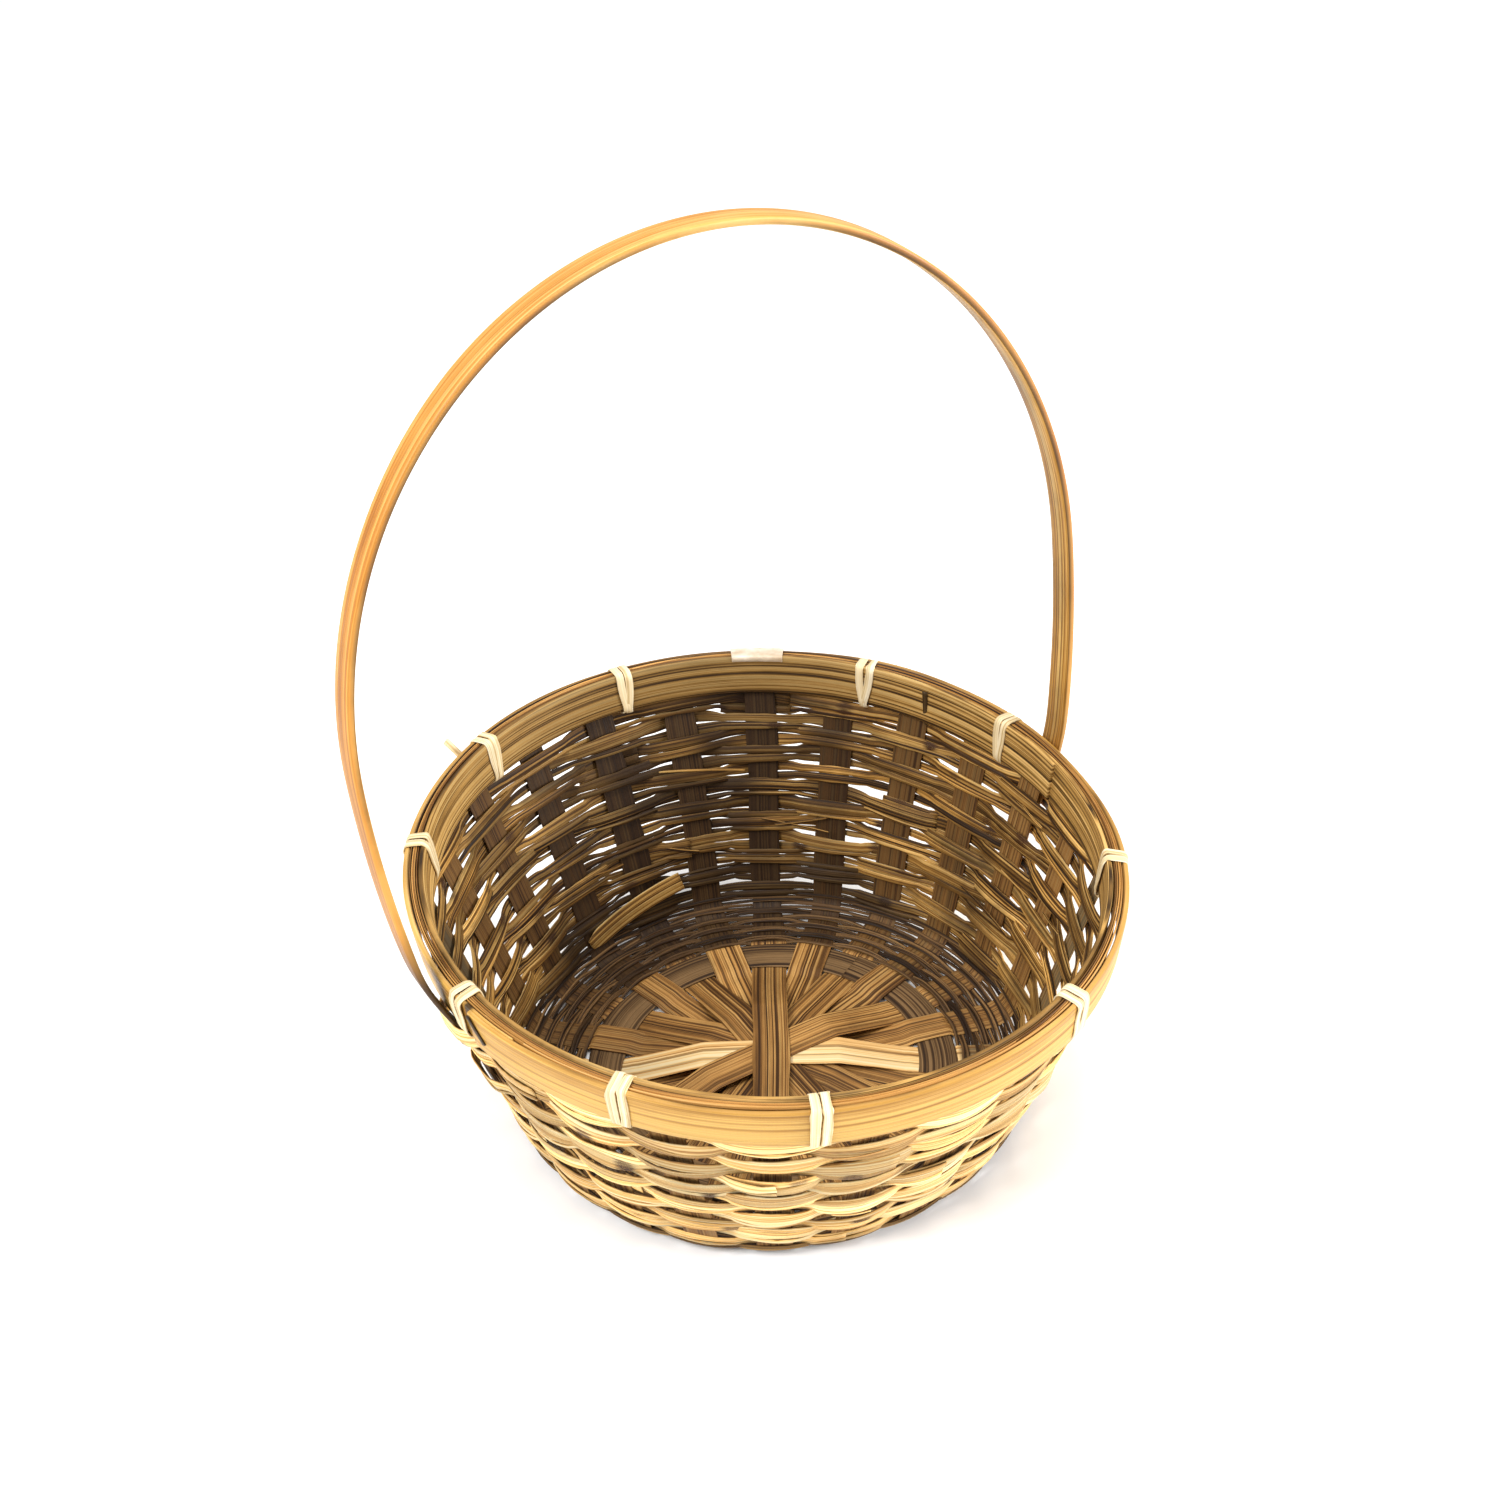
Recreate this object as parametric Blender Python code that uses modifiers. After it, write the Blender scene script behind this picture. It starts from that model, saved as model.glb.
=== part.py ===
"""Woven bamboo fruit basket with a tall hoop handle.

Twelve flat splints cross in the middle of the floor and turn up to be the twenty-four wall stakes. A flat
band, nine fine weavers and fourteen wide weavers are woven round them. Two hoops clamp the stake ends, with
two filler strands between the hoops and ten lashings round them. The handle's feet are tucked in between
the stakes and the outer weavers. The frame has its origin on the ground at the middle of the basket, X along
the handle and Z up. All lengths are in metres.
"""

import math

import bmesh
import bpy
from mathutils import Vector

# Driving dimensions.
STAKES = 24                     # wall stakes, two to each splint
GAP = 0.0003                    # air between pieces that touch on the real basket
RIM_OVAL = 0.040                # the rim is this share wider across the handle, and narrower along it

SPLINT_THICKNESS = 0.00045
SPLINT_HALF_FLOOR = 0.0062      # half the width of a splint on the floor
SPLINT_HALF_FINE = 0.0056       # half its width where it leaves the floor
SPLINT_HALF_RIM = 0.0050        # half its width at the top of a stake
STACK_BOTTOM = 0.0010           # height of the lowest splint where all twelve cross
STACK_STEP = 0.00070            # rise from one splint to the next in the crossing
STACK_RADIUS = 0.024            # the splints lie stacked out to here
SPREAD_RADIUS = 0.0472          # and from here on lie side by side, ready to pass the band
SPREAD_DIP = 0.45               # how far they lean there to their own side of the band, as a share
SPLINT_BENDS = (0.012, 0.024, 0.030, 0.036, 0.042, 0.0472, 0.0490, 0.0508, 0.0525)

BAND_INNER = 0.0528             # flat band round the floor
BAND_OUTER = 0.0648
BAND_Z = 0.0016
BAND_CLEAR = 0.0006             # from the band's edge to where a splint is level again

FLOOR_START = 0.066             # radius where the fine rows begin
FLOOR_RUN = 0.0148              # level run of the stakes from there to the corner
FLOOR_Z = 0.00135               # height of the stakes' middle on that run
CORNER_RADIUS = 0.009
WALL_ANGLE = math.radians(71.2)     # rise of the wall, from level
WALL_RUN = 0.0780                   # length of the wall from the corner to the rim
RIM_ANGLE = math.radians(82.5)      # rise of the stakes between the hoops
STAKE_IN_RIM = 0.0136               # length of stake held between the hoops
CORNER_STEPS = 7                    # facets of a stake round the corner
WALL_STEPS = 3                      # and up the wall

FINE_ROWS = 9
FINE_FIRST = 0.0014             # distance of the first fine row from FLOOR_START, along the stakes
FINE_PITCH = 0.0026
FINE_WIDTH = 0.0013
FINE_THICKNESS = 0.0009
FINE_OFFSET = 0.0009            # how far a fine weaver stands off the stakes' middle, in or out

WALL_ROWS = 12
WALL_FIRST = 0.0279
WALL_PITCH = 0.0066
HIDDEN_ROWS = 2                 # further wall rows, clamped between the hoops
HIDDEN_FIRST = 0.1081
HIDDEN_PITCH = 0.0058
WALL_WIDTH = 0.0054
WALL_THICKNESS = 0.0007
WALL_OFFSET = 0.00085

HOOP_THICKNESS = 0.0021
HOOP_OFFSET = 0.00255           # from the stakes' middle to a hoop's middle
HOOP_BOTTOM = 0.0010            # start of the hoops above the wall's top, along the stakes
HOOP_HEIGHT = 0.0152
HOOP_FLAT = 0.0077              # half the length of the hoop's straight where it passes a stake

STRAND_OFFSET = 0.00070
STRAND_WIDTH = 0.0015
STRAND_THICKNESS = 0.00115

# Each lashing's nearest stake, and how far to the side of that stake it goes through the wall.
LASHING_PLACES = (
    (0, 0.0152),
    (3, -0.0109),
    (6, -0.0109),
    (8, -0.0109),
    (10, -0.0109),
    (12, 0.0111),
    (15, -0.0123),
    (16, 0.0148),
    (19, 0.0111),
    (22, -0.0109),
)
LASHING_WIDTH = 0.0063          # both turns of cane together
LASHING_THICKNESS = 0.0005
LASHING_GAP = 0.00035
LASHING_CHAMFER = 0.0005

HANDLE_HALF_SPAN = 0.1275       # from the middle of the basket to the handle's middle line
HANDLE_SHOULDER = 0.168         # height of the handle's widest point
HANDLE_RISE = 0.1338            # from there to the top
HANDLE_DROP = 0.227             # the same below it, as if the lower curve went right round
HANDLE_WIDTH = 0.0095
HANDLE_THICKNESS = 0.0028
HANDLE_LEAN = math.tan(math.radians(7.5))
FOOT_SEAT = 0.0695              # height where the foot comes to lie on its stake
FOOT_END = 0.0460
FOOT_THICKNESS_HOOP = 0.0024
FOOT_THICKNESS_SEAT = 0.0016
FOOT_THICKNESS_END = 0.0012
FOOT_SLOPE = math.radians(60.0)     # least rise of the foot's outer face, from level
HANDLE_LOWER_STEPS = 6          # facets of the handle from the rim to its widest point
HANDLE_UPPER_STEPS = 18         # and from there to the top

TAPE_STAKE = 4                  # the stake that the tape is centred on
TAPE_WIDTH = 0.019
TAPE_THICKNESS = 0.00025
TAPE_OUTSIDE = 0.0090           # how far the tape runs down the outer hoop
TAPE_INSIDE = 0.0010            # and down the inner hoop

# Splints from the bottom of the crossing to the top. The first six pass over the floor band.
STACK_ORDER = (7, 11, 1, 5, 9, 3, 2, 8, 6, 10, 0, 4)
OVER_BAND = 6

# Lengths along a stake, from FLOOR_START.
CORNER_START = FLOOR_RUN
WALL_START = CORNER_START + CORNER_RADIUS * WALL_ANGLE
RIM_START = WALL_START + WALL_RUN
HOOP_LOW = RIM_START + HOOP_BOTTOM
HOOP_TOP = HOOP_LOW + HOOP_HEIGHT

BAMBOO_FLOOR = ("splint_bamboo", (0.28, 0.15, 0.06, 1.0), 0.55)
BAMBOO_FINE = ("fine_weaver_bamboo", (0.12, 0.07, 0.035, 1.0), 0.60)
BAMBOO_WALL = ("wall_weaver_bamboo", (0.62, 0.42, 0.20, 1.0), 0.50)
BAMBOO_RIM = ("rim_bamboo", (0.60, 0.36, 0.13, 1.0), 0.42)
BAMBOO_HANDLE = ("handle_bamboo", (0.66, 0.36, 0.10, 1.0), 0.38)
CANE = ("lashing_cane", (0.80, 0.66, 0.42, 1.0), 0.50)
TAPE = ("clear_tape", (0.80, 0.72, 0.60, 1.0), 0.35)


def clear_scene():
    """Remove every object that the scene starts with."""
    for item in list(bpy.data.objects):
        bpy.data.objects.remove(item, do_unlink=True)


def material(finish):
    """Return the Principled material of a finish, made on its first use."""
    name, colour, roughness = finish
    found = bpy.data.materials.get(name)
    if found:
        return found
    made = bpy.data.materials.new(name)
    made.use_nodes = True
    shader = made.node_tree.nodes["Principled BSDF"]
    shader.inputs["Base Color"].default_value = colour
    shader.inputs["Roughness"].default_value = roughness
    shader.inputs["Metallic"].default_value = 0.0
    return made


def blend(start, end, share):
    """Return the value a share of the way from start to end."""
    return start + (end - start) * share


def ease(share):
    """Ease a share from 0 to 1 in and out."""
    share = min(1.0, max(0.0, share))
    return share * share * (3.0 - 2.0 * share)


def stake_point(run):
    """Return radius, height and rise angle of the stakes' middle, a length run past FLOOR_START."""
    if run <= CORNER_START:
        return FLOOR_START + run, FLOOR_Z, 0.0
    centre = (FLOOR_START + FLOOR_RUN, FLOOR_Z + CORNER_RADIUS)
    turned = min((run - CORNER_START) / CORNER_RADIUS, WALL_ANGLE)
    radius = centre[0] + CORNER_RADIUS * math.sin(turned)
    height = centre[1] - CORNER_RADIUS * math.cos(turned)
    if run <= WALL_START:
        return radius, height, turned
    up_wall = min(run, RIM_START) - WALL_START
    radius += up_wall * math.cos(WALL_ANGLE)
    height += up_wall * math.sin(WALL_ANGLE)
    if run <= RIM_START:
        return radius, height, WALL_ANGLE
    up_rim = run - RIM_START
    return radius + up_rim * math.cos(RIM_ANGLE), height + up_rim * math.sin(RIM_ANGLE), RIM_ANGLE


def stake_run(height):
    """Return the run at which a stake reaches a height on its wall or rim stretch."""
    corner_height = stake_point(WALL_START)[1]
    rim_height = stake_point(RIM_START)[1]
    if height <= rim_height:
        return WALL_START + (height - corner_height) / math.sin(WALL_ANGLE)
    return RIM_START + (height - rim_height) / math.sin(RIM_ANGLE)


def oval(radius, height, azimuth):
    """Turn a mean radius into the oval's radius. The base is round and the rim is oval."""
    wall_foot = stake_point(WALL_START)[1]
    wall_top = stake_point(RIM_START)[1]
    share = min(1.0, max(0.0, (height - wall_foot) / (wall_top - wall_foot)))
    return radius * (1.0 - RIM_OVAL * share * math.cos(2.0 * azimuth))


def place(azimuth, radius, sideways, height):
    """Return the point at a radius and a sideways distance from the vertical plane at an azimuth."""
    return (
        radius * math.cos(azimuth) - sideways * math.sin(azimuth),
        radius * math.sin(azimuth) + sideways * math.cos(azimuth),
        height,
    )


def stake_offset_point(run, offset, azimuth):
    """Return radius and height of a point offset outward from a stake's middle."""
    radius, height, rise = stake_point(run)
    return oval(radius, height, azimuth) + offset * math.sin(rise), height - offset * math.cos(rise)


def stake_half_width(run):
    """Return half the width of a stake a length run past FLOOR_START."""
    return blend(SPLINT_HALF_FINE, SPLINT_HALF_RIM, min(1.0, run / RIM_START))


def add_object(name, mesh_builder, finish, collection):
    """Write a bmesh into a new object of the collection."""
    mesh = bpy.data.meshes.new(name)
    mesh_builder.to_mesh(mesh)
    mesh_builder.free()
    mesh.materials.append(material(finish))
    made = bpy.data.objects.new(name, mesh)
    collection.objects.link(made)
    return made


def solidify(piece, thickness):
    """Give an open surface its thickness, half to each side."""
    shell = piece.modifiers.new("Thickness", "SOLIDIFY")
    shell.thickness = thickness
    shell.offset = 0.0
    shell.use_even_offset = True
    return shell


def add_ring(name, run, width, thickness, offset_at, half_flat, finish, collection):
    """Make a closed flat strip round the basket, straight where it passes each stake.

    run is the place of its middle along the stakes, and offset_at(stake) how far it stands off that stake.
    """
    points = 2 * STAKES
    builder = bmesh.new()
    bmesh.ops.create_cone(builder, cap_ends=False, segments=points, radius1=1.0, radius2=1.0, depth=1.0)
    for vertex in builder.verts:
        turn = math.atan2(vertex.co.y, vertex.co.x) / (2.0 * math.pi) * points
        index = round(turn) % points
        stake = ((index + 1) // 2) % STAKES
        side = half_flat if index % 2 == 0 else -half_flat
        azimuth = 2.0 * math.pi * stake / STAKES
        edge = run + (width / 2.0 if vertex.co.z > 0.0 else -width / 2.0)
        middle_rise = stake_point(run)[2]
        radius, height = stake_offset_point(run, offset_at(stake), azimuth)
        radius += (edge - run) * math.cos(middle_rise)
        height += (edge - run) * math.sin(middle_rise)
        vertex.co = place(azimuth, radius, side, height)
    ring = add_object(name, builder, finish, collection)
    solidify(ring, thickness)
    return ring


def add_strip(name, stations, azimuth, thickness, finish, collection):
    """Make a flat strip in the vertical plane at an azimuth. A station is (distance, height, half width)."""
    builder = bmesh.new()
    bmesh.ops.create_grid(builder, x_segments=len(stations) - 1, y_segments=1, size=1.0)
    for vertex in builder.verts:
        index = round((vertex.co.x + 1.0) / 2.0 * (len(stations) - 1))
        distance, height, half_width = stations[index]
        sideways = half_width if vertex.co.y > 0.0 else -half_width
        vertex.co = place(azimuth, distance, sideways, height)
    strip = add_object(name, builder, finish, collection)
    solidify(strip, thickness)
    return strip


def floor_height(radius, rank):
    """Return the height of a splint of a rank in the stack, from the crossing to the fine rows."""
    stacked = STACK_BOTTOM + STACK_STEP * rank
    over = rank < OVER_BAND
    clear = (SPLINT_THICKNESS + GAP) * (1.0 if over else -1.0)
    passing = BAND_Z - clear * SPREAD_DIP
    if radius <= SPREAD_RADIUS:
        share = (radius - STACK_RADIUS) / (SPREAD_RADIUS - STACK_RADIUS)
        return blend(stacked, passing, ease(share))
    if radius <= BAND_OUTER:
        share = (radius - SPREAD_RADIUS) / (BAND_INNER - GAP - SPREAD_RADIUS)
        return blend(passing, BAND_Z + clear, ease(share))
    return blend(BAND_Z + clear, FLOOR_Z, ease((radius - BAND_OUTER) / (FLOOR_START - BAND_OUTER)))


def add_splint(number, rank, collection):
    """Make one full-length splint: up one wall, across the floor and up the wall opposite."""
    azimuth = math.pi * number / (STAKES / 2)
    half = []
    for radius in (*SPLINT_BENDS, BAND_OUTER, BAND_OUTER + BAND_CLEAR):
        half.append((radius, floor_height(radius, rank), SPLINT_HALF_FLOOR))
    runs = [0.0, CORNER_START]
    runs += [blend(CORNER_START, WALL_START, step / CORNER_STEPS) for step in range(1, CORNER_STEPS + 1)]
    runs += [blend(WALL_START, RIM_START, step / WALL_STEPS) for step in range(1, WALL_STEPS + 1)]
    runs += [RIM_START + STAKE_IN_RIM]
    for run in runs:
        radius, height = stake_offset_point(run, 0.0, azimuth)
        half.append((radius, height, stake_half_width(run)))
    near = [(-distance, height, half_width) for distance, height, half_width in reversed(half)]
    middle = [(0.0, floor_height(0.0, rank), SPLINT_HALF_FLOOR)]
    name = f"floor_splint_{number + 1:02d}"
    return add_strip(name, near + middle + half, azimuth, SPLINT_THICKNESS, BAMBOO_FLOOR, collection)


def add_floor_band(collection):
    """Make the flat band, which lies level between the splints that pass over and under it."""
    builder = bmesh.new()
    bmesh.ops.create_cone(
        builder, cap_ends=False, segments=2 * STAKES, radius1=BAND_INNER, radius2=BAND_OUTER, depth=1.0
    )
    for vertex in builder.verts:
        vertex.co.z = BAND_Z
    band = add_object("floor_band", builder, BAMBOO_FINE, collection)
    solidify(band, SPLINT_THICKNESS)


def weave_side(row, stake):
    """Return 1 where a row passes outside a stake and -1 where it passes inside."""
    return 1.0 if (row + stake) % 2 == 0 else -1.0


def add_fine_weavers(collection):
    """Make the fine rows round the edge of the floor and the corner."""
    for row in range(FINE_ROWS):
        run = FINE_FIRST + FINE_PITCH * row
        add_ring(
            f"fine_weaver_{row + 1:02d}",
            run,
            FINE_WIDTH,
            FINE_THICKNESS,
            lambda stake, row=row: FINE_OFFSET * weave_side(row, stake),
            stake_half_width(run) + GAP,
            BAMBOO_FINE,
            collection,
        )


def foot_line(height):
    """Return the distance of the handle's middle from the axis below the rim, and its thickness there."""
    hoop_run = HOOP_LOW - GAP
    hoop_radius, hoop_height = stake_offset_point(hoop_run, HOOP_OFFSET + HOOP_THICKNESS / 2.0, 0.0)
    hoop_distance = hoop_radius + GAP + FOOT_THICKNESS_HOOP / 2.0
    if height >= hoop_height:
        top_distance = arch_distance(rim_height())
        share = (height - hoop_height) / (rim_height() - hoop_height)
        return blend(hoop_distance, top_distance, share), blend(FOOT_THICKNESS_HOOP, HANDLE_THICKNESS, share)
    seated = min(height, FOOT_SEAT)
    below_seat = (FOOT_SEAT - seated) / (FOOT_SEAT - FOOT_END)
    thickness = blend(FOOT_THICKNESS_SEAT, FOOT_THICKNESS_END, below_seat)
    stand_off = SPLINT_THICKNESS / 2.0 + GAP + thickness / 2.0
    distance = stake_offset_point(stake_run(seated), stand_off, 0.0)[0]
    share = (height - seated) / (hoop_height - seated)
    return blend(distance, hoop_distance, share), blend(thickness, FOOT_THICKNESS_HOOP, share)


def rim_height():
    """Return the height of the top of the hoops."""
    return stake_point(HOOP_TOP)[1]


def arch_distance(height):
    """Return the distance of the handle's middle line from the axis at a height of its lower curve."""
    return HANDLE_HALF_SPAN * math.sqrt(1.0 - ((height - HANDLE_SHOULDER) / HANDLE_DROP) ** 2)


def foot_stand_off(run):
    """Return how far the foot's outer face stands off the stake's middle beside a wall row."""
    farthest = 0.0
    for edge in (-0.5, 0.0, 0.5):
        radius, height, rise = stake_point(run + edge * WALL_WIDTH)
        if height > FOOT_END - WALL_WIDTH:
            distance, thickness = foot_line(max(height, FOOT_END))
            outer = distance + thickness / 2.0 / math.sin(FOOT_SLOPE)
            farthest = max(farthest, (outer - oval(radius, height, 0.0)) * math.sin(rise))
    return farthest


def wall_offset(row, run, stake):
    """Return how far a wall row stands off a stake. Outer rows bulge over the feet of the handle."""
    side = weave_side(FINE_ROWS + row, stake)
    at_handle = stake % (STAKES // 2) == 0
    if side > 0.0 and at_handle and run < RIM_START:
        return max(WALL_OFFSET, foot_stand_off(run) + GAP + WALL_THICKNESS / 2.0)
    return WALL_OFFSET * side


def add_wall_weavers(collection):
    """Make the wide rows of the wall, then the two more that the hoops cover."""
    runs = [WALL_FIRST + WALL_PITCH * row for row in range(WALL_ROWS)]
    runs += [HIDDEN_FIRST + HIDDEN_PITCH * row for row in range(HIDDEN_ROWS)]
    for row, run in enumerate(runs):
        add_ring(
            f"wall_weaver_{row + 1:02d}",
            run,
            WALL_WIDTH,
            WALL_THICKNESS,
            lambda stake, row=row, run=run: wall_offset(row, run, stake),
            HOOP_FLAT if run > RIM_START else stake_half_width(run) + 2.0 * GAP,
            BAMBOO_WALL,
            collection,
        )


def add_rim(collection):
    """Make the two hoops and the filler strands that cover the stake ends between them."""
    middle = (HOOP_LOW + HOOP_TOP) / 2.0
    for name, side in (("rim_outer_hoop", 1.0), ("rim_inner_hoop", -1.0)):
        add_ring(
            name,
            middle,
            HOOP_HEIGHT,
            HOOP_THICKNESS,
            lambda stake, side=side: HOOP_OFFSET * side,
            HOOP_FLAT,
            BAMBOO_RIM,
            collection,
        )
    for name, side in (("rim_filler_strand_outer", 1.0), ("rim_filler_strand_inner", -1.0)):
        add_ring(
            name,
            HOOP_TOP - STRAND_WIDTH / 2.0,
            STRAND_WIDTH,
            STRAND_THICKNESS,
            lambda stake, side=side: STRAND_OFFSET * side,
            HOOP_FLAT,
            BAMBOO_RIM,
            collection,
        )


def rim_point(stake, across, along, sideways):
    """Return a point on the hoops' outline: across them (out is positive), along their height and sideways.

    sideways runs along the straight where the hoops pass the stake, and on towards the next stake.
    """
    run = (HOOP_LOW + HOOP_TOP) / 2.0
    corners = []
    direction = 1 if sideways > 0.0 else -1
    for at_stake, side in ((stake, HOOP_FLAT * direction), (stake + direction, -HOOP_FLAT * direction)):
        azimuth = 2.0 * math.pi * at_stake / STAKES
        radius, height = stake_offset_point(run, across, azimuth)
        radius += along * math.cos(RIM_ANGLE)
        height += along * math.sin(RIM_ANGLE)
        corners.append(Vector(place(azimuth, radius, side, height)))
    past = abs(sideways) - HOOP_FLAT
    chord = corners[1] - corners[0]
    if past > 0.0:
        return corners[0] + chord * (past / chord.length)
    azimuth = 2.0 * math.pi * stake / STAKES
    return corners[0] + Vector(place(azimuth, 0.0, direction * past, 0.0))


def add_lashing(number, stake, sideways, collection):
    """Make one lashing, as wide as its two turns of split cane, round both hoops."""
    half_across = HOOP_OFFSET + HOOP_THICKNESS / 2.0 + LASHING_GAP + LASHING_THICKNESS / 2.0
    half_along = HOOP_HEIGHT / 2.0 + GAP + LASHING_THICKNESS / 2.0
    corners = (
        (half_across, -half_along + LASHING_CHAMFER),
        (half_across, half_along - LASHING_CHAMFER),
        (half_across - LASHING_CHAMFER, half_along),
        (-half_across + LASHING_CHAMFER, half_along),
        (-half_across, half_along - LASHING_CHAMFER),
        (-half_across, -half_along + LASHING_CHAMFER),
        (-half_across + LASHING_CHAMFER, -half_along),
        (half_across - LASHING_CHAMFER, -half_along),
    )
    builder = bmesh.new()
    bmesh.ops.create_cone(
        builder, cap_ends=False, segments=len(corners), radius1=1.0, radius2=1.0, depth=1.0
    )
    for vertex in builder.verts:
        corner = round(math.atan2(vertex.co.y, vertex.co.x) / (2.0 * math.pi) * len(corners)) % len(corners)
        across, along = corners[corner]
        edge = LASHING_WIDTH / 2.0 if vertex.co.z < 0.0 else -LASHING_WIDTH / 2.0
        vertex.co = rim_point(stake, across, along, sideways + edge)
    lashing = add_object(f"rim_lashing_{number + 1:02d}", builder, CANE, collection)
    solidify(lashing, LASHING_THICKNESS)


def add_tape(collection):
    """Make the patch of tape that runs up the outer hoop, over the top and just down inside."""
    across = HOOP_OFFSET + HOOP_THICKNESS / 2.0 + LASHING_GAP
    top = HOOP_HEIGHT / 2.0 + GAP
    path = (
        (across, top - TAPE_OUTSIDE),
        (across, top - GAP),
        (across - GAP, top),
        (-across + GAP, top),
        (-across, top - GAP),
        (-across, top - TAPE_INSIDE),
    )
    columns = (-TAPE_WIDTH / 2.0, -HOOP_FLAT, HOOP_FLAT, TAPE_WIDTH / 2.0)
    builder = bmesh.new()
    bmesh.ops.create_grid(builder, x_segments=len(path) - 1, y_segments=len(columns) - 1, size=1.0)
    for vertex in builder.verts:
        out, along = path[round((vertex.co.x + 1.0) / 2.0 * (len(path) - 1))]
        sideways = columns[round((vertex.co.y + 1.0) / 2.0 * (len(columns) - 1))]
        vertex.co = rim_point(TAPE_STAKE, out, along, sideways)
    tape = add_object("tape_patch", builder, TAPE, collection)
    solidify(tape, TAPE_THICKNESS)


def handle_stations():
    """Return the handle's middle line as (distance, height, thickness), from the foot at +X to the top."""
    stations = []
    for height in (FOOT_END, (FOOT_END + FOOT_SEAT) / 2.0, FOOT_SEAT):
        stations.append((foot_line(height)[0], height, foot_line(height)[1]))
    hoop_height = stake_point(HOOP_LOW)[1]
    stations.append((foot_line(hoop_height)[0], hoop_height, foot_line(hoop_height)[1]))
    rim = rim_height()
    for step in range(HANDLE_LOWER_STEPS + 1):
        height = blend(rim, HANDLE_SHOULDER, step / HANDLE_LOWER_STEPS)
        stations.append((arch_distance(height), height, HANDLE_THICKNESS))
    for step in range(1, HANDLE_UPPER_STEPS + 1):
        angle = math.pi / 2.0 * step / HANDLE_UPPER_STEPS
        distance = HANDLE_HALF_SPAN * math.cos(angle)
        height = HANDLE_SHOULDER + HANDLE_RISE * math.sin(angle)
        stations.append((distance, height, HANDLE_THICKNESS))
    return stations


def add_handle(collection):
    """Make the handle as one bent strip that thins towards its feet and leans towards +Y."""
    half = handle_stations()
    mirrored = [(-distance, height, thickness) for distance, height, thickness in reversed(half[:-1])]
    stations = half + mirrored
    builder = bmesh.new()
    bmesh.ops.create_grid(builder, x_segments=len(stations) - 1, y_segments=1, size=1.0)
    shares = {}
    lean_start = stake_point(HOOP_LOW)[1]
    for vertex in builder.verts:
        index = round((vertex.co.x + 1.0) / 2.0 * (len(stations) - 1))
        distance, height, thickness = stations[index]
        shares.setdefault(thickness / HANDLE_THICKNESS, []).append(vertex.index)
        back = HANDLE_LEAN * max(0.0, height - lean_start)
        sideways = HANDLE_WIDTH / 2.0 if vertex.co.y > 0.0 else -HANDLE_WIDTH / 2.0
        vertex.co = (distance, back + sideways, height)
    handle = add_object("carry_handle", builder, BAMBOO_HANDLE, collection)
    taper = handle.vertex_groups.new(name="Taper")
    for share, vertices in shares.items():
        taper.add(vertices, share, "REPLACE")
    shell = solidify(handle, HANDLE_THICKNESS)
    shell.vertex_group = taper.name


def build_basket():
    clear_scene()
    collection = bpy.data.collections.new("woven_fruit_basket")
    bpy.context.scene.collection.children.link(collection)
    for rank, number in enumerate(STACK_ORDER):
        add_splint(number, rank, collection)
    add_floor_band(collection)
    add_fine_weavers(collection)
    add_wall_weavers(collection)
    add_rim(collection)
    for number, (stake, sideways) in enumerate(LASHING_PLACES):
        add_lashing(number, stake, sideways, collection)
    add_tape(collection)
    add_handle(collection)


build_basket()
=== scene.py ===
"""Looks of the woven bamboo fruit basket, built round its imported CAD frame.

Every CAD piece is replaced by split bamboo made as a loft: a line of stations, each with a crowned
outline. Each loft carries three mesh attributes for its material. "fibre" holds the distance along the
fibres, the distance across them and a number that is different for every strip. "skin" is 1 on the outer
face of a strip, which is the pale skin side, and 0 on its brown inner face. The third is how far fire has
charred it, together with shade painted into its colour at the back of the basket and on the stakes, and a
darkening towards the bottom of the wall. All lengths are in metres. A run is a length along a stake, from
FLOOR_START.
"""

import math

import bpy
import numpy as np
from mathutils import Matrix, Vector


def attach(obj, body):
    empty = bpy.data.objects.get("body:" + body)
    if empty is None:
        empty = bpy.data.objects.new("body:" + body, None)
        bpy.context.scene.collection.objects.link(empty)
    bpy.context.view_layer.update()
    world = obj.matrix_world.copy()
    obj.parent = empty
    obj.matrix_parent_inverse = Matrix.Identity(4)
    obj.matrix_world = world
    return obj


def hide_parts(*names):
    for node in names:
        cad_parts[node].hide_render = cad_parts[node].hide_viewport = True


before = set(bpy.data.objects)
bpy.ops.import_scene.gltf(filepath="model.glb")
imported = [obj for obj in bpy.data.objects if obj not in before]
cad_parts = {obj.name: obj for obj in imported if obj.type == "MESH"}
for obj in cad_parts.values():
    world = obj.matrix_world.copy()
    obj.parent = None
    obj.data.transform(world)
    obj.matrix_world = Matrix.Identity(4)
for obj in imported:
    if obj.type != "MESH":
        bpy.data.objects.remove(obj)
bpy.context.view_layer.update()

# Line of the stakes, as in the frame.
STAKES = 24
FLOOR_START = 0.066  # radius where the fine rows begin
CORNER_START = 0.0148  # run where a stake starts to turn up
CORNER_RADIUS = 0.009
FLOOR_Z = 0.00135  # height of the stakes' middle on the floor
WALL_ANGLE = math.radians(71.2)
WALL_RUN = 0.0780
RIM_ANGLE = math.radians(82.5)
RIM_BEND = 0.008  # length over which a stake turns to the rim's slope
RIM_OVAL = 0.040  # share by which the rim is longer one way, shorter the other
WALL_START = CORNER_START + CORNER_RADIUS * WALL_ANGLE
RIM_START = WALL_START + WALL_RUN
HOOP_LOW = RIM_START + 0.0010
HOOP_HEIGHT = 0.0152
HOOP_TOP = HOOP_LOW + HOOP_HEIGHT
STAKE_TOP = RIM_START + 0.0136

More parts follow.
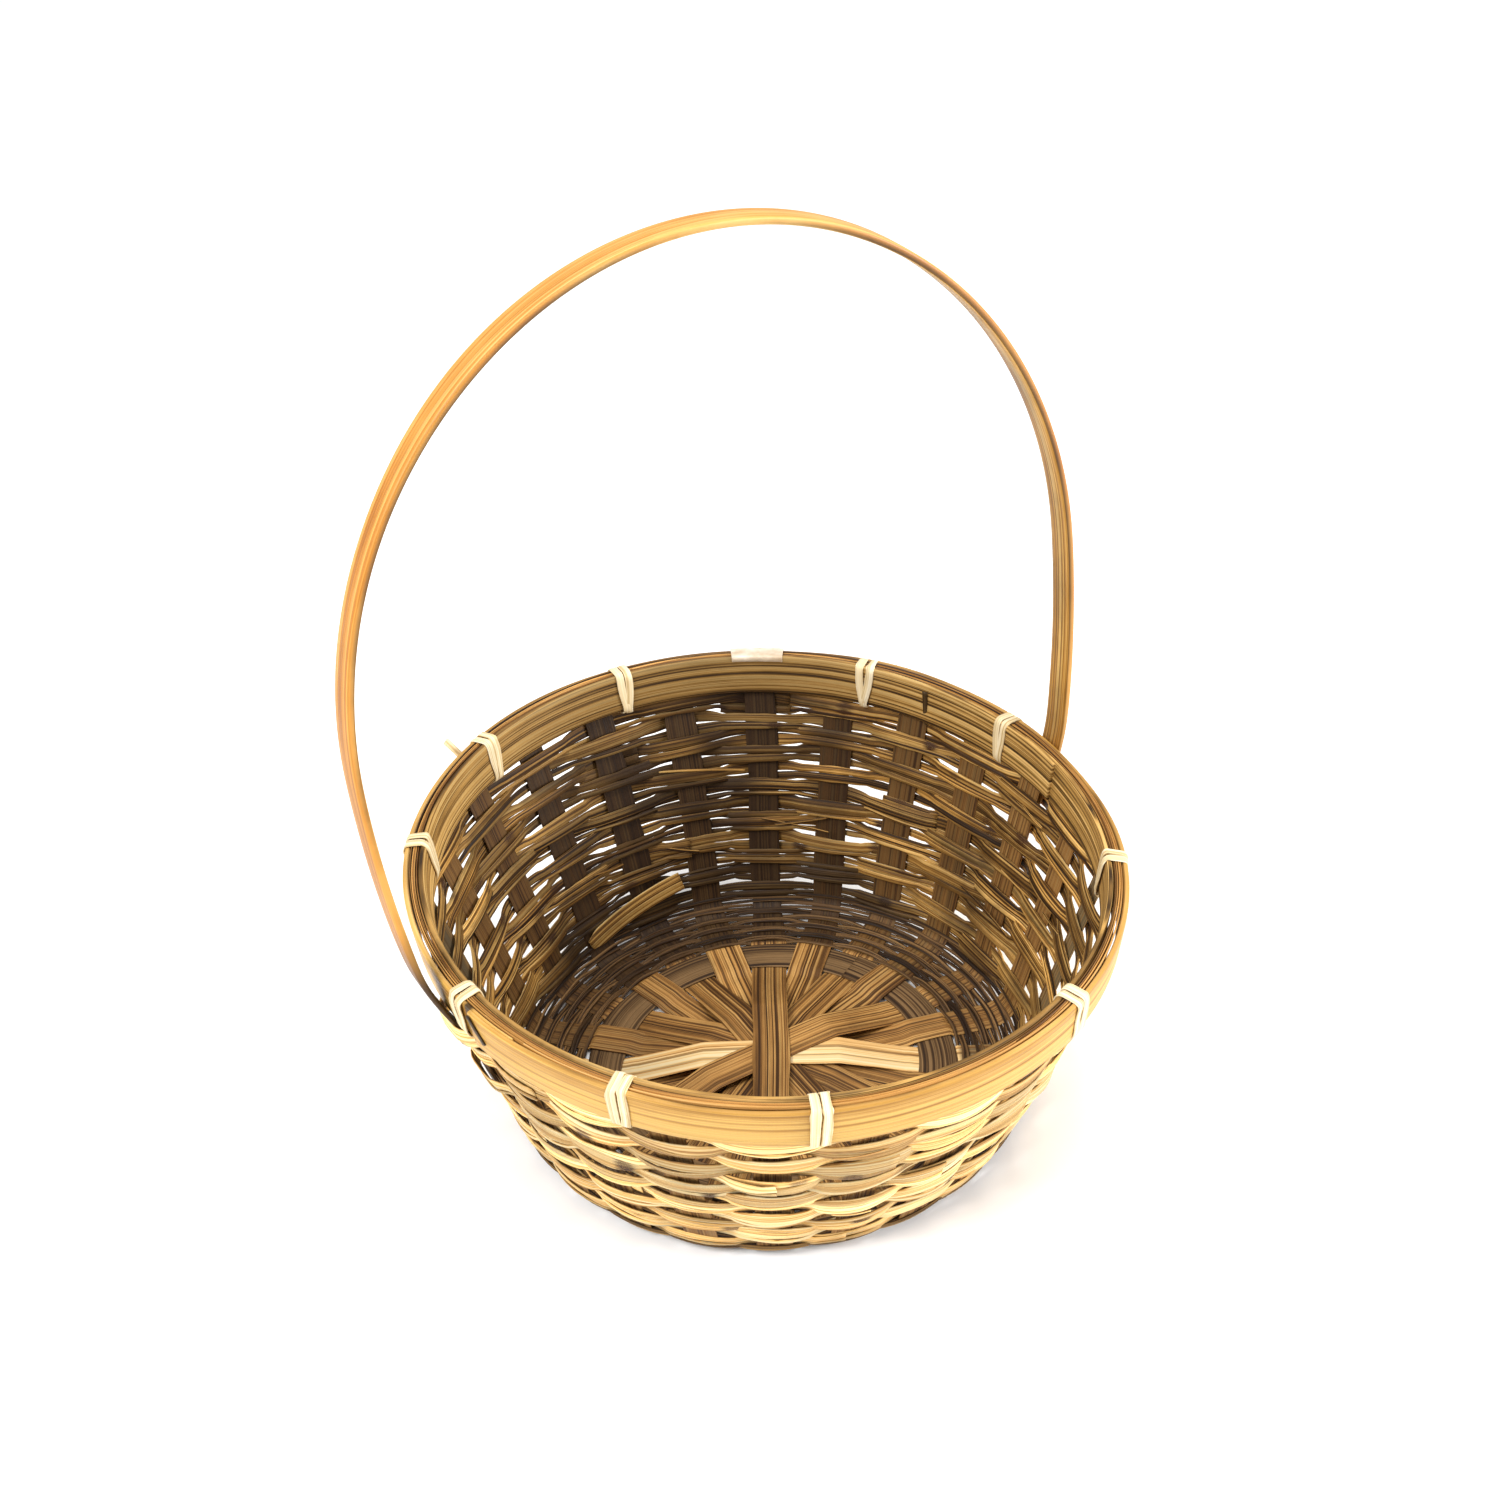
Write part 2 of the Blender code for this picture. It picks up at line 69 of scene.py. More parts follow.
# How far lines and edges wander from even ones.
UNEVEN = 0.00012  # fine strands, hoops in and out, lashings and the handle's edges
STRIP_WANDER = 0.00016  # wall rows in and out, and the splints' edges
RIM_DRIFT = 0.00018  # hoops and filler strands up and down
BROAD_WANDER = 0.0002  # the band, and the hoops' edges

# Splints and the floor band.
SPLINT_THICKNESS = 0.00055
SPLINT_HALF_FLOOR = 0.0064
SPLINT_HALF_WALL = 0.0057
SPLINT_DRIFT = 0.00022  # how far a splint wanders sideways
STACK_BOTTOM = 0.0010  # height of the lowest splint at the crossing
STACK_STEP = 0.0007  # and how much higher each next one lies
STACK_RADIUS = 0.024  # where the splints start to come down
SPREAD_RADIUS = 0.0472  # and where they are down
SPREAD_DIP = 0.15  # share of BAND_CLEAR by which they bend the other way there
BAND_INNER = 0.0528
BAND_OUTER = 0.0648
BAND_Z = 0.0016
BAND_CLEAR = 0.00075  # from the band's middle to that of a splint passing it
PAST_FLOOR_START = 0.001  # how far past FLOOR_START they are level with the fine rows
BAND_START = 0.3  # azimuth
BAND_EDGE = 0.0004  # how far its edges stand past its two radii
BAND_LAP = 0.0002  # how far its end lies above its start
BAND_STRIP = 3.3
STACK_ORDER = (7, 11, 1, 5, 9, 3, 2, 8, 6, 10, 0, 4)  # splints from the lowest to the highest
OVER_BAND = 6  # lower ranks pass over the band, the others under
PALE_SPLINT_NUMBER = 10
PALE_SPLINT_SHADE = 1.7  # how much more painted shade its stakes have than the others

# Weavers.
WEAVE_SHARPNESS = 0.75  # below 1, a weaver lies flatter along each stake
LAP_RAMP = math.radians(25.0)  # over which a strip's end rises from its row
FINE_ROWS = 9
FINE_FIRST = 0.0014  # run of the first row
FINE_PITCH = 0.0026
FINE_WAVE = 0.0008  # how far a fine strand swings in and out
FINE_SHIFT = 0.00065  # and the two of a row lie apart
FINE_HALF_WIDTH = 0.00064
FINE_THICKNESS = 0.0009
FINE_LAP = 0.0001  # how far its end lies outside its start
FINE_BACK_SHADE = 0.7  # share of the wall's painted shade at the back that the fine rows have
WALL_ROWS = 12
WALL_FIRST = 0.0279  # run of the first row
WALL_PITCH = 0.0066
WALL_DRIFT = 0.0008  # how far a row wanders up and down, but the first
WALL_WAVE_FOOT = 0.0008  # how far a strip of the lowest row bulges out over a stake
WALL_WAVE_OUT = 0.0018  # and one of the fourth row or above
WALL_WAVE_IN = 0.0017  # and in, under the next one
WALL_HALF_WIDTH = 0.0037
WALL_PINCH = 0.80  # share of its width that a strip has between stakes
WALL_SPREAD = 0.46  # share that it gains where it passes outside a stake
WALL_SPREAD_INSIDE = 0.08  # and where it passes inside
FIRST_ROW_SPREAD = -0.10  # the first row loses width outside a stake
WALL_THICKNESS = 0.0008
SPLIT_SLIT = 0.00022  # half width of an open split over a stake
SPLIT_CLOSED = 0.00002  # and of a closed one
SPLIT_LEAST = 0.0004  # least half width of a strip beside a split
WALL_LAP = 0.0004  # how far a row's end lies outside its start
STRIP_UNEVEN = 0.00007  # how uneven a strip's edges are
STRIP_APART = 0.00022  # how far they stand in front of each other over a stake
HIDDEN_ROWS = 2
HIDDEN_FIRST = 0.1081
HIDDEN_PITCH = 0.0058
HIDDEN_HALF_WIDTH = 0.0024

# Rim.
HOOP_OFFSET = 0.00255  # from the stakes' middle to a hoop's middle
HOOP_THICKNESS = 0.0021
HOOP_TUCK = 0.0006  # how far a hoop's end moves in behind its start
HOOP_THINNING = math.radians(18.0)  # the hoop's end is thinned over this angle
HOOP_CHAR_BEFORE = 0.012  # angle from the joint to the dark mark beside it
HOOP_CHAR_SPREAD = 0.016
HOOP_BACK_SHADE = 0.8  # share of the wall's painted shade at the back that the hoops have
STRAND_OFFSET = 0.0007  # from the stakes' middle to a filler's middle
STRAND_BELOW_TOP = 0.0009  # how far its strands lie below the hoops' top
STRAND_STEP_UP = 0.0004  # how much higher the next strand outward lies, a whole step away
STRAND_STEP_OUT = 0.00085  # and how much further out
STRAND_UNEVEN = 0.00008  # how far a strand wanders in and out
STRAND_HALF_WIDTH = 0.0010
STRAND_HALF_THICKNESS = 0.00028
STRAND_JOINT = math.radians(192.4) - 3.36
STRAND_JOINT_STEP = 2.4  # angle by which the strands' starts differ

# Each lashing's nearest stake, and how far to the side of that stake it goes round the hoops.
LASHING_PLACES = (
    (0, 0.0152), (3, -0.0109), (6, -0.0109), (8, -0.0109), (10, -0.0109),
    (12, 0.0111), (15, -0.0123), (16, 0.0148), (19, 0.0111), (22, -0.0109),
)
LASHING_HALF_ACROSS = 0.0042  # half the size of a lashing's loop across the hoops
LASHING_HALF_ALONG = 0.0081  # and along their height
LASHING_THICKNESS = 0.00055
LASHING_SQUARENESS = 0.37  # below 1, the loop is squarer than an ellipse
CANE_HALF_WIDTH = 0.00148
CANE_APART = 0.00165  # from the lashing's middle to each turn of cane
CANE_DRAWN = 0.0006  # and at the bottom inside, where they are drawn together
CANE_SLACK = 0.0001  # how far a turn stands off its loop
CANE_SLANT = 0.0006  # and leans over the height of the rim
CANE_OVER = 0.0003  # where they cross, how far one turn lies off the loop
CANE_UNDER = 0.0001  # and the other

TAPE_STAKE = 4  # the stake that the tape is centred on
TAPE_WIDTH = 0.019
TAPE_OUTSIDE = 0.0090  # how far the tape runs down the outer hoop
TAPE_INSIDE = 0.0022  # and down the inner hoop
TAPE_CORNER = 0.0008  # how far below its top the tape starts to bend
TAPE_CORNER_SHARE = 0.2  # share of its half width that is bent
TAPE_CLOSER = 0.0002  # how much closer than a lashing it lies
TAPE_CREASE = 0.00006
TAPE_COLUMNS = 30
TAPE_THICKNESS = 0.0001

# Handle.
HANDLE_HALF_SPAN = 0.1275  # at the shoulder, where the handle is widest
HANDLE_SHOULDER = 0.168
HANDLE_RISE = 0.1338  # from the shoulder to the handle's top
HANDLE_DROP = 0.227  # half height of the oval that it follows below the shoulder
HANDLE_HALF_WIDTH = 0.00475
HANDLE_THICKNESS = 0.0028
HANDLE_LEAN = math.tan(math.radians(7.5))
HANDLE_POINTS = 420
HANDLE_SMOOTHING = 17  # points over which the handle's line is smoothed
HANDLE_STRIP = 8.8
FOOT_SEAT = 0.0695  # height below which a foot lies against its stake
FOOT_END = 0.0460
FOOT_THICKNESS = 0.0013
FOOT_THINNING = 0.05  # height over which a foot thins
FOOT_CLEAR = 0.0016  # from a foot's middle to the hoop's face, and to a strip over it
FOOT_OFF_STAKE = 0.0014  # from the stake's middle to the foot's middle
BULGE_ONSET = 1.6  # how fast a strip comes out as it passes outside a stake
BULGE_BELOW_FOOT = 0.002  # how far below a foot the strips start to be pushed out
BULGE_RISE = 0.006  # height over which they come to their full reach
BULGE_HALF_WIDTH = 0.0045  # half the length of their full reach
BULGE_FADE = 0.011  # and the length over which they go back on each side

# Painted shade at the back and on the stakes, a darkening towards the bottom of the wall, and fire.
DARKEST = math.radians(76.0)  # azimuth where the shade painted on the basket is darkest, at the back
BACK_SHADE_LEAST = 0.03
BACK_SHADE_MORE = 0.62  # how much more at the darkest azimuth
BACK_SHADE_SPREAD = 0.80  # angle over which it falls off
STAKE_SHADE = 0.42  # painted shade: how much darker than the strips the stakes are, which lie behind them in the weave
STAKE_SHADE_FADE = 0.003  # length past the band over which that comes in
FOOT_DARKENING = 0.38  # how much darker the first row of the wall is
FOOT_DARKENING_ROWS = 3.0  # and the number of rows over which that fades
CHAR_HEIGHT = 0.086  # the left foot is burnt black up to here
CHAR_FADE = 0.045
RIGHT_FOOT_CHAR = 0.5  # as a share of the left one's

STATIONS = 24 * 14  # stations of a strip in one turn round the basket
OVERLAP_STATIONS = 14  # and of its overlap
SLIVERS = 22  # loose slivers round the wall
OUTSIDE_SLIVER = 3  # one in so many is outside the wall, the others inside
SLIVER_OFFSET = 0.0022  # from the stakes' middle to the end in the weave
SLIVER_THICKNESS = 0.0003
SLIVER_BEND = 0.0006
LOOSE_STATIONS = 24
WALL_SLANT = 0.35  # how far a loose strip's face is tipped up

# Stage, light and camera.
FLOOR_HALF_SIZE = 8.0
FLOOR_COLOUR = (0.93, 0.93, 0.93, 1.0)
WORLD_COLOUR = (1.0, 1.0, 1.0, 1.0)
WORLD_STRENGTH = 0.70
LIT_PLACE = Vector((0.0, 0.0, 0.08))
LIGHTS = (  # name, place, size and power in watts
    ("key", (-1.2, -0.2, 1.3), 0.6, 25.0),
    ("side", (1.1, -1.0, 0.5), 0.7, 27.0),
    ("top", (0.1, 0.0, 1.8), 1.0, 15.0),
)
CAMERA_PLACE = Vector((-0.28009, -0.50568, 0.54369))
CAMERA_HEADING = math.radians(28.785)  # from +Y towards +X
CAMERA_DOWN = math.radians(35.239)
CAMERA_ROLL = math.radians(-2.897)
CAMERA_LENS = 53.154  # millimetres, as the sensor's width
CAMERA_SENSOR = 36.0


def blend(start, end, share):
    """Return the value a share of the way from start to end."""
    return start + (end - start) * share


def ease(share):
    """Ease a share from 0 to 1 in and out."""
    share = np.clip(share, 0.0, 1.0)
    return share * share * (3.0 - 2.0 * share)


def stake_line(run):
    """Return radius, height and rise of the stakes' middle, a length run past FLOOR_START."""
    run = np.asarray(run, float)
    turned = np.clip((run - CORNER_START) / CORNER_RADIUS, 0.0, WALL_ANGLE)
    up_wall = np.clip(run - WALL_START, 0.0, WALL_RUN)
    up_rim = np.maximum(run - RIM_START, 0.0)
    radius = FLOOR_START + np.minimum(run, CORNER_START) + CORNER_RADIUS * np.sin(turned)
    radius = radius + up_wall * math.cos(WALL_ANGLE) + up_rim * math.cos(RIM_ANGLE)
    height = FLOOR_Z + CORNER_RADIUS * (1.0 - np.cos(turned))
    height = height + up_wall * math.sin(WALL_ANGLE) + up_rim * math.sin(RIM_ANGLE)
    rise = turned + (RIM_ANGLE - WALL_ANGLE) * ease((run - RIM_START + RIM_BEND / 2.0) / RIM_BEND)
    return radius, height, rise


def wall_run(height):
    """Return the run at which a stake reaches a height on the wall."""
    return WALL_START + (height - float(stake_line(WALL_START)[1])) / math.sin(WALL_ANGLE)


def oval(radius, height, azimuth):
    """Turn a mean radius into the oval's radius. The base is round and the rim is oval."""
    foot = float(stake_line(WALL_START)[1])
    top = float(stake_line(RIM_START)[1])
    share = np.clip((height - foot) / (top - foot), 0.0, 1.0)
    return radius * (1.0 - RIM_OVAL * share * np.cos(2.0 * azimuth))


def wander(random, turns, slow, fast):
    """Return a smooth random curve of about unit size, from waves of slow to fast turns."""
    waves = np.linspace(slow, fast, 9)
    curve = np.zeros_like(turns)
    for wave in waves:
        curve += random.normal() * np.sin(wave * turns + random.uniform(0.0, 2.0 * math.pi))
    return curve / math.sqrt(len(waves) / 2.0)


def squared(wave, power):
    """Square off a wave between -1 and 1: a power of 1 leaves it round and 0 makes it square."""
    return np.sign(wave) * np.abs(wave) ** power


def polar(distance, turns, height):
    """Return points round the axis from their distances, azimuths and heights."""
    height = np.broadcast_to(height, turns.shape)
    return np.stack([distance * np.cos(turns), distance * np.sin(turns), height], axis=1)


def outline(points, squareness, crown):
    """Return a strip's crowned outline as (across, out) in half widths and half thicknesses."""
    angles = (np.arange(points) + 0.5) * 2.0 * math.pi / points
    return np.stack([squared(np.cos(angles), squareness), squared(np.sin(angles), crown)], axis=1)


STRIP = outline(10, 0.22, 0.5)
STRAND = outline(8, 0.7, 0.9)
BOARD = outline(18, 0.28, 0.5)


def random_strip(random):
    """Return a random strip number, which sets a strip's tint and fibres."""
    return random.uniform(0.0, 50.0)


def loft(
    centres, across, half_width, half_thickness, section, strip, twist=0.0, closed=False, char_and_shade=0.0,
):
    """Sweep a section along a line of centres. Returns vertices, faces, fibre, skin, and char with painted
    shade.
    """
    count = len(centres)
    if closed:
        tangent = np.roll(centres, -1, 0) - np.roll(centres, 1, 0)
    else:
        tangent = np.gradient(centres, axis=0)
    tangent /= np.linalg.norm(tangent, axis=1, keepdims=True)
    across = across - (across * tangent).sum(1, keepdims=True) * tangent
    across /= np.linalg.norm(across, axis=1, keepdims=True)
    out = np.cross(tangent, across)
    twist = np.broadcast_to(twist, count)[:, None]
    turned_across = across * np.cos(twist) + out * np.sin(twist)
    turned_out = out * np.cos(twist) - across * np.sin(twist)
    wide = np.broadcast_to(half_width, count)[:, None] * section[None, :, 0]
    thick = np.broadcast_to(half_thickness, count)[:, None] * section[None, :, 1]
    points = centres[:, None, :] + wide[..., None] * turned_across[:, None, :]
    points = points + thick[..., None] * turned_out[:, None, :]
    steps = np.linalg.norm(np.diff(centres, axis=0), axis=1)
    along = np.concatenate([[0.0], np.cumsum(steps)])
    fibre = np.empty(points.shape)
    fibre[..., 0] = along[:, None]
    fibre[..., 1] = wide
    fibre[..., 2] = strip
    skin = np.broadcast_to((section[:, 1] > 0.0).astype(float), wide.shape)
    char_and_shade = np.broadcast_to(np.broadcast_to(char_and_shade, count)[:, None], wide.shape)
    size = len(section)
    faces = []
    for station in range(count if closed else count - 1):
        here = station * size
        there = (station + 1) % count * size
        for corner in range(size):
            following = (corner + 1) % size
            faces.append((here + corner, here + following, there + following, there + corner))
    if not closed:
        faces.append(tuple(range(size))[::-1])
        faces.append(tuple(range((count - 1) * size, count * size)))
    return points.reshape(-1, 3), faces, fibre.reshape(-1, 3), skin.reshape(-1), char_and_shade.reshape(-1)


def add_object(name, data):
    """Add an object to the scene and return it."""
    made = bpy.data.objects.new(name, data)
    bpy.context.scene.collection.objects.link(made)
    return made


def make_piece(name, lofts, finish, nodes):
    """Join lofts into one mesh piece that rides on the frame and stands for CAD nodes."""
    points, loft_faces, fibres, skins, chars_and_shades = zip(*lofts)
    faces = []
    start = 0
    for own_points, own_faces in zip(points, loft_faces):
        faces.extend(tuple(corner + start for corner in face) for face in own_faces)
        start += len(own_points)
    mesh = bpy.data.meshes.new(name)
    mesh.from_pydata(np.concatenate(points).tolist(), [], faces)
    fibre = mesh.attributes.new("fibre", "FLOAT_VECTOR", "POINT")
    fibre.data.foreach_set("vector", np.concatenate(fibres).ravel())
    for attribute, values in (("skin", skins), ("char_and_shade", chars_and_shades)):
        mesh.attributes.new(attribute, "FLOAT", "POINT").data.foreach_set("value", np.concatenate(values))
    mesh.shade_smooth()
    mesh.materials.append(finish)
    piece = add_object(name, mesh)
    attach(piece, "root")
    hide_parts(*nodes)
    return piece


def round_points(turns, run, offset):
    """Return points round the basket at a run, off the stakes' middle by an offset, and the ways up."""
    radius, height, rise = stake_line(run)
    distance = oval(radius, height, turns) + offset * np.sin(rise)
    centres = polar(distance, turns, height - offset * np.cos(rise))
    return centres, polar(np.cos(rise), turns, np.sin(rise))


def full_turn(start, overlap):
    """Return the azimuths of a strip that goes once round and overlaps itself."""
    return start + np.linspace(0.0, 2.0 * math.pi + overlap, STATIONS + OVERLAP_STATIONS)


def lapped(turns, lift):
    """Return an offset that lets the end of a strip lie outside its own start."""
    at_end = ease(1.0 - (turns[-1] - turns) / LAP_RAMP)
    at_start = ease(1.0 - (turns - turns[0]) / LAP_RAMP)
    return lift * (at_end - at_start)


def weave(turns, row):
    """Return from 1 where a row passes outside a stake to -1 where it passes inside."""
    return squared(np.cos(STAKES / 2.0 * turns + math.pi * row), WEAVE_SHARPNESS)


def back_shade(turns):
    """Return how much shade is painted on the wall at each azimuth: most at the back."""
    from_darkest = (turns - DARKEST + math.pi) % (2.0 * math.pi) - math.pi
    return BACK_SHADE_LEAST + BACK_SHADE_MORE * np.exp(-(from_darkest / BACK_SHADE_SPREAD) ** 2)


# Materials.

MIX_FIRST = 6  # colour sockets of a mix node
MIX_SECOND = 7
MIX_RESULT = 2


def srgb(red, green, blue):
    """Return a linear colour from 0 to 255 values."""
    return tuple(((value / 255.0 + 0.055) / 1.055) ** 2.4 for value in (red, green, blue)) + (1.0,)


def add_node(tree, kind, inputs=None, **settings):
    """Add a shader node. An input is given as a value or as the socket that feeds it."""
    made = tree.nodes.new(kind)
    for name, value in settings.items():
        setattr(made, name, value)
    for name, value in (inputs or {}).items():
        if isinstance(value, bpy.types.NodeSocket):
            tree.links.new(value, made.inputs[name])
        else:
            made.inputs[name].default_value = value
    return made


def ramp(tree, factor, stops):
    """Add a colour ramp through (place, colour) stops and return its colour."""
    made = add_node(tree, "ShaderNodeValToRGB", {"Fac": factor})
    elements = made.color_ramp.elements
    while len(elements) < len(stops):
        elements.new(0.5)
    for element, (place, colour) in zip(elements, stops):
        element.position = place
        element.color = colour
    return made.outputs["Color"]


def math_node(tree, operation, first, second=0.0, third=0.0):
    """Add a math node and return its value."""
    made = add_node(tree, "ShaderNodeMath", {0: first, 1: second, 2: third}, operation=operation)
    return made.outputs[0]


def mix_colour(tree, factor, first, second, blend_type="MIX"):
    """Add a colour mix and return its colour."""
    inputs = {"Factor": factor, MIX_FIRST: first, MIX_SECOND: second}
    made = add_node(tree, "ShaderNodeMix", inputs, data_type="RGBA", blend_type=blend_type)
    return made.outputs[MIX_RESULT]


def map_range(tree, value, low, high, to_low, to_high):
    """Map a value from one range to another and return it."""
    inputs = {"Value": value, "From Min": low, "From Max": high, "To Min": to_low, "To Max": to_high}
    return add_node(tree, "ShaderNodeMapRange", inputs).outputs["Result"]


def fibre_noise(tree, fibre, along, across, detail):
    """Return noise drawn out along the fibres, with so many features per metre along and across."""
    scaled = add_node(
        tree, "ShaderNodeVectorMath", {0: fibre, 1: (along, across, 1.0)}, operation="MULTIPLY"
    )
    inputs = {"Vector": scaled.outputs[0], "Scale": 1.0, "Detail": detail, "Roughness": 0.6}
    return add_node(tree, "ShaderNodeTexNoise", inputs).outputs["Fac"]


LINE_COLOUR = srgb(44, 26, 11)
STAIN_COLOUR = srgb(36, 23, 12)
KNOT_COLOUR = srgb(60, 35, 16)
CHAR_AND_SHADE_COLOUR = srgb(34, 20, 9)
TONE_PLACES = (0.425, 0.475, 0.52, 0.57)  # of a material's four tones in the mixed noise
THREAD_SHARE = 0.38  # shares of the four noises in it
FINE_SHARE = 0.22
STREAK_SHARE = 0.30
MOTTLE_SHARE = 0.10
SKIN_LINES = 0.3  # share of the lines that the skin side has
SKIN_STAIN = 0.25  # and of stains
KNOT_SPACING = 0.23  # length between the nodes of the cane
KNOT_LIMITS = (0.0056, 0.0080)  # ragged distance from a node that is dark, and that is clear
KNOT_RAGGED = 0.008  # how ragged its edge is
FULLEST_CHAR_AND_SHADE = 0.92


def bamboo(
    name, skin_tones, inner_tones, grain=3000.0, lines=0.75, knots=0.0, stain=0.0, roughness=0.55,
    spread=0.25, gloss=0.22,
):
    """Make a bamboo material from four tones, dark to light, for the skin side and for the inner side.

    grain is the number of fibres per metre across. lines, knots and stain are the strengths of the thin
    dark lines, the cane's dark nodes and the dark blotches. spread is how much strips differ.
    """
    made = bpy.data.materials.new(name)
    made.use_nodes = True
    tree = made.node_tree
    shader = tree.nodes["Principled BSDF"]
    shader.inputs["Specular IOR Level"].default_value = gloss
    fibre = add_node(tree, "ShaderNodeAttribute", attribute_name="fibre").outputs["Vector"]
    skin = add_node(tree, "ShaderNodeAttribute", attribute_name="skin").outputs["Fac"]
    char_and_shade = add_node(tree, "ShaderNodeAttribute", attribute_name="char_and_shade").outputs["Fac"]
    parts = add_node(tree, "ShaderNodeSeparateXYZ", {0: fibre})
    place = add_node(tree, "ShaderNodeTexCoord").outputs["Object"]
    chance = add_node(tree, "ShaderNodeTexWhiteNoise", {"W": parts.outputs["Z"]}, noise_dimensions="1D")

    fine = fibre_noise(tree, fibre, 9.0, grain, 2.0)
    threads = fibre_noise(tree, fibre, 3.0, grain * 0.45, 2.0)
    streaks = fibre_noise(tree, fibre, 2.0, grain * 0.17, 3.0)
    mottle = fibre_noise(tree, fibre, 34.0, 190.0, 3.0)
    mixed = math_node(tree, "MULTIPLY", fine, FINE_SHARE)
    mixed = math_node(tree, "MULTIPLY_ADD", threads, THREAD_SHARE, mixed)
    mixed = math_node(tree, "MULTIPLY_ADD", streaks, STREAK_SHARE, mixed)
    mixed = math_node(tree, "MULTIPLY_ADD", mottle, MOTTLE_SHARE, mixed)
    inner_colour = ramp(tree, mixed, list(zip(TONE_PLACES, inner_tones)))
    skin_colour = ramp(tree, mixed, list(zip(TONE_PLACES, skin_tones)))
    colour = mix_colour(tree, skin, inner_colour, skin_colour)

    # Thin dark lines along the fibres, fainter on the skin side.
    thin_lines = fibre_noise(tree, fibre, 2.5, grain * 0.5, 1.0)
    line = map_range(tree, thin_lines, 0.36, 0.44, lines, 0.0)
    line = math_node(tree, "MULTIPLY", line, map_range(tree, skin, 0.0, 1.0, 1.0, SKIN_LINES))
    colour = mix_colour(tree, line, colour, LINE_COLOUR)

    # A tint of its own for every strip.
    tint = map_range(tree, chance.outputs["Value"], 0.0, 1.0, 1.0 - spread, 1.0 + spread * 0.6)
    colour = mix_colour(tree, 1.0, colour, tint, "MULTIPLY")

    # Dark blotches, which follow both the place on the basket and the fibres.
    blotches = add_node(
        tree, "ShaderNodeTexNoise", {"Vector": place, "Scale": 24.0, "Detail": 5.0, "Roughness": 0.62}
    ).outputs["Fac"]
    blotched = math_node(tree, "MULTIPLY_ADD", streaks, 0.5, math_node(tree, "MULTIPLY", blotches, 0.5))
    stained = map_range(tree, blotched, 0.48, 0.62, 0.0, stain)
    stained = math_node(tree, "MULTIPLY", stained, map_range(tree, skin, 0.0, 1.0, 1.0, SKIN_STAIN))
    colour = mix_colour(tree, stained, colour, STAIN_COLOUR)

    # The nodes of the cane: dark ragged patches at even spaces along each strip.
    spacing = math_node(tree, "MULTIPLY_ADD", chance.outputs["Value"], KNOT_SPACING, parts.outputs["X"])
    from_knot = math_node(tree, "PINGPONG", spacing, KNOT_SPACING / 2.0)
    ragged = math_node(tree, "MULTIPLY_ADD", threads, KNOT_RAGGED, from_knot)
    knot = map_range(tree, ragged, *KNOT_LIMITS, knots, 0.0)
    knot = math_node(tree, "MULTIPLY", knot, map_range(tree, mottle, 0.35, 0.60, 0.5, 1.2))
    colour = mix_colour(tree, knot, colour, KNOT_COLOUR)

    # Char from fire, shade painted at the back and on the stakes, and the lowest rows' darkening all
    # darken the dark fibres first.
    char_and_shade_share = math_node(tree, "MULTIPLY_ADD", math_node(tree, "SUBTRACT", mixed, 0.5), 2.0, char_and_shade)
    char_and_shade_share = map_range(tree, char_and_shade_share, 0.20, 0.90, 0.0, FULLEST_CHAR_AND_SHADE)
    colour = mix_colour(tree, char_and_shade_share, colour, CHAR_AND_SHADE_COLOUR)
    tree.links.new(colour, shader.inputs["Base Color"])

    rough = map_range(tree, fine, 0.3, 0.7, roughness - 0.10, roughness + 0.14)
    tree.links.new(rough, shader.inputs["Roughness"])
    height = math_node(tree, "MULTIPLY_ADD", streaks, 0.6, fine)
    height = math_node(tree, "MULTIPLY_ADD", knot, 0.6, height)
    bump = add_node(tree, "ShaderNodeBump", {"Height": height, "Strength": 0.7, "Distance": 0.0003})
    tree.links.new(bump.outputs["Normal"], shader.inputs["Normal"])
    return made


def tones(*colours):
    """Turn (red, green, blue) triples into the tones of a material."""
    return [srgb(*colour) for colour in colours]


WEAVER_SKIN = tones((190, 138, 70), (230, 182, 106), (242, 206, 140), (250, 228, 176))
WEAVER_INNER = tones((38, 24, 9), (114, 78, 32), (186, 138, 68), (234, 190, 114))
SPLINT_SKIN = tones((84, 54, 24), (134, 92, 46), (170, 124, 68), (202, 158, 96))
SPLINT_TONES = tones((78, 50, 22), (138, 96, 48), (176, 128, 68), (208, 162, 96))
PALE_SPLINT_TONES = tones((166, 110, 50), (238, 188, 118), (250, 214, 150), (254, 230, 180))
FINE_SKIN = tones((78, 54, 24), (116, 86, 44), (146, 112, 62), (176, 142, 88))
FINE_TONES = tones((20, 12, 5), (60, 41, 21), (104, 75, 43), (150, 114, 70))
BAND_TONES = tones((42, 28, 15), (76, 54, 31), (102, 77, 47), (134, 104, 68))
HOOP_TONES = tones((142, 100, 40), (166, 121, 50), (182, 136, 62), (204, 162, 84))
INNER_HOOP_TONES = tones((54, 36, 14), (136, 100, 48), (192, 148, 80), (226, 186, 116))
RIM_TOP_TONES = tones((118, 76, 32), (190, 136, 68), (216, 160, 86), (236, 188, 116))
HANDLE_SKIN = tones((170, 104, 32), (204, 134, 50), (220, 156, 70), (238, 188, 108))
HANDLE_INNER = tones((84, 52, 18), (164, 114, 46), (208, 154, 74), (236, 190, 112))
CANE_TONES = tones((190, 162, 114), (216, 192, 146), (228, 208, 168), (240, 226, 194))
TAPE_TONES = tones((214, 190, 158), (228, 208, 180), (236, 220, 198), (244, 234, 218))
TAPE_PLACES = (0.3, 0.45, 0.6, 0.75)

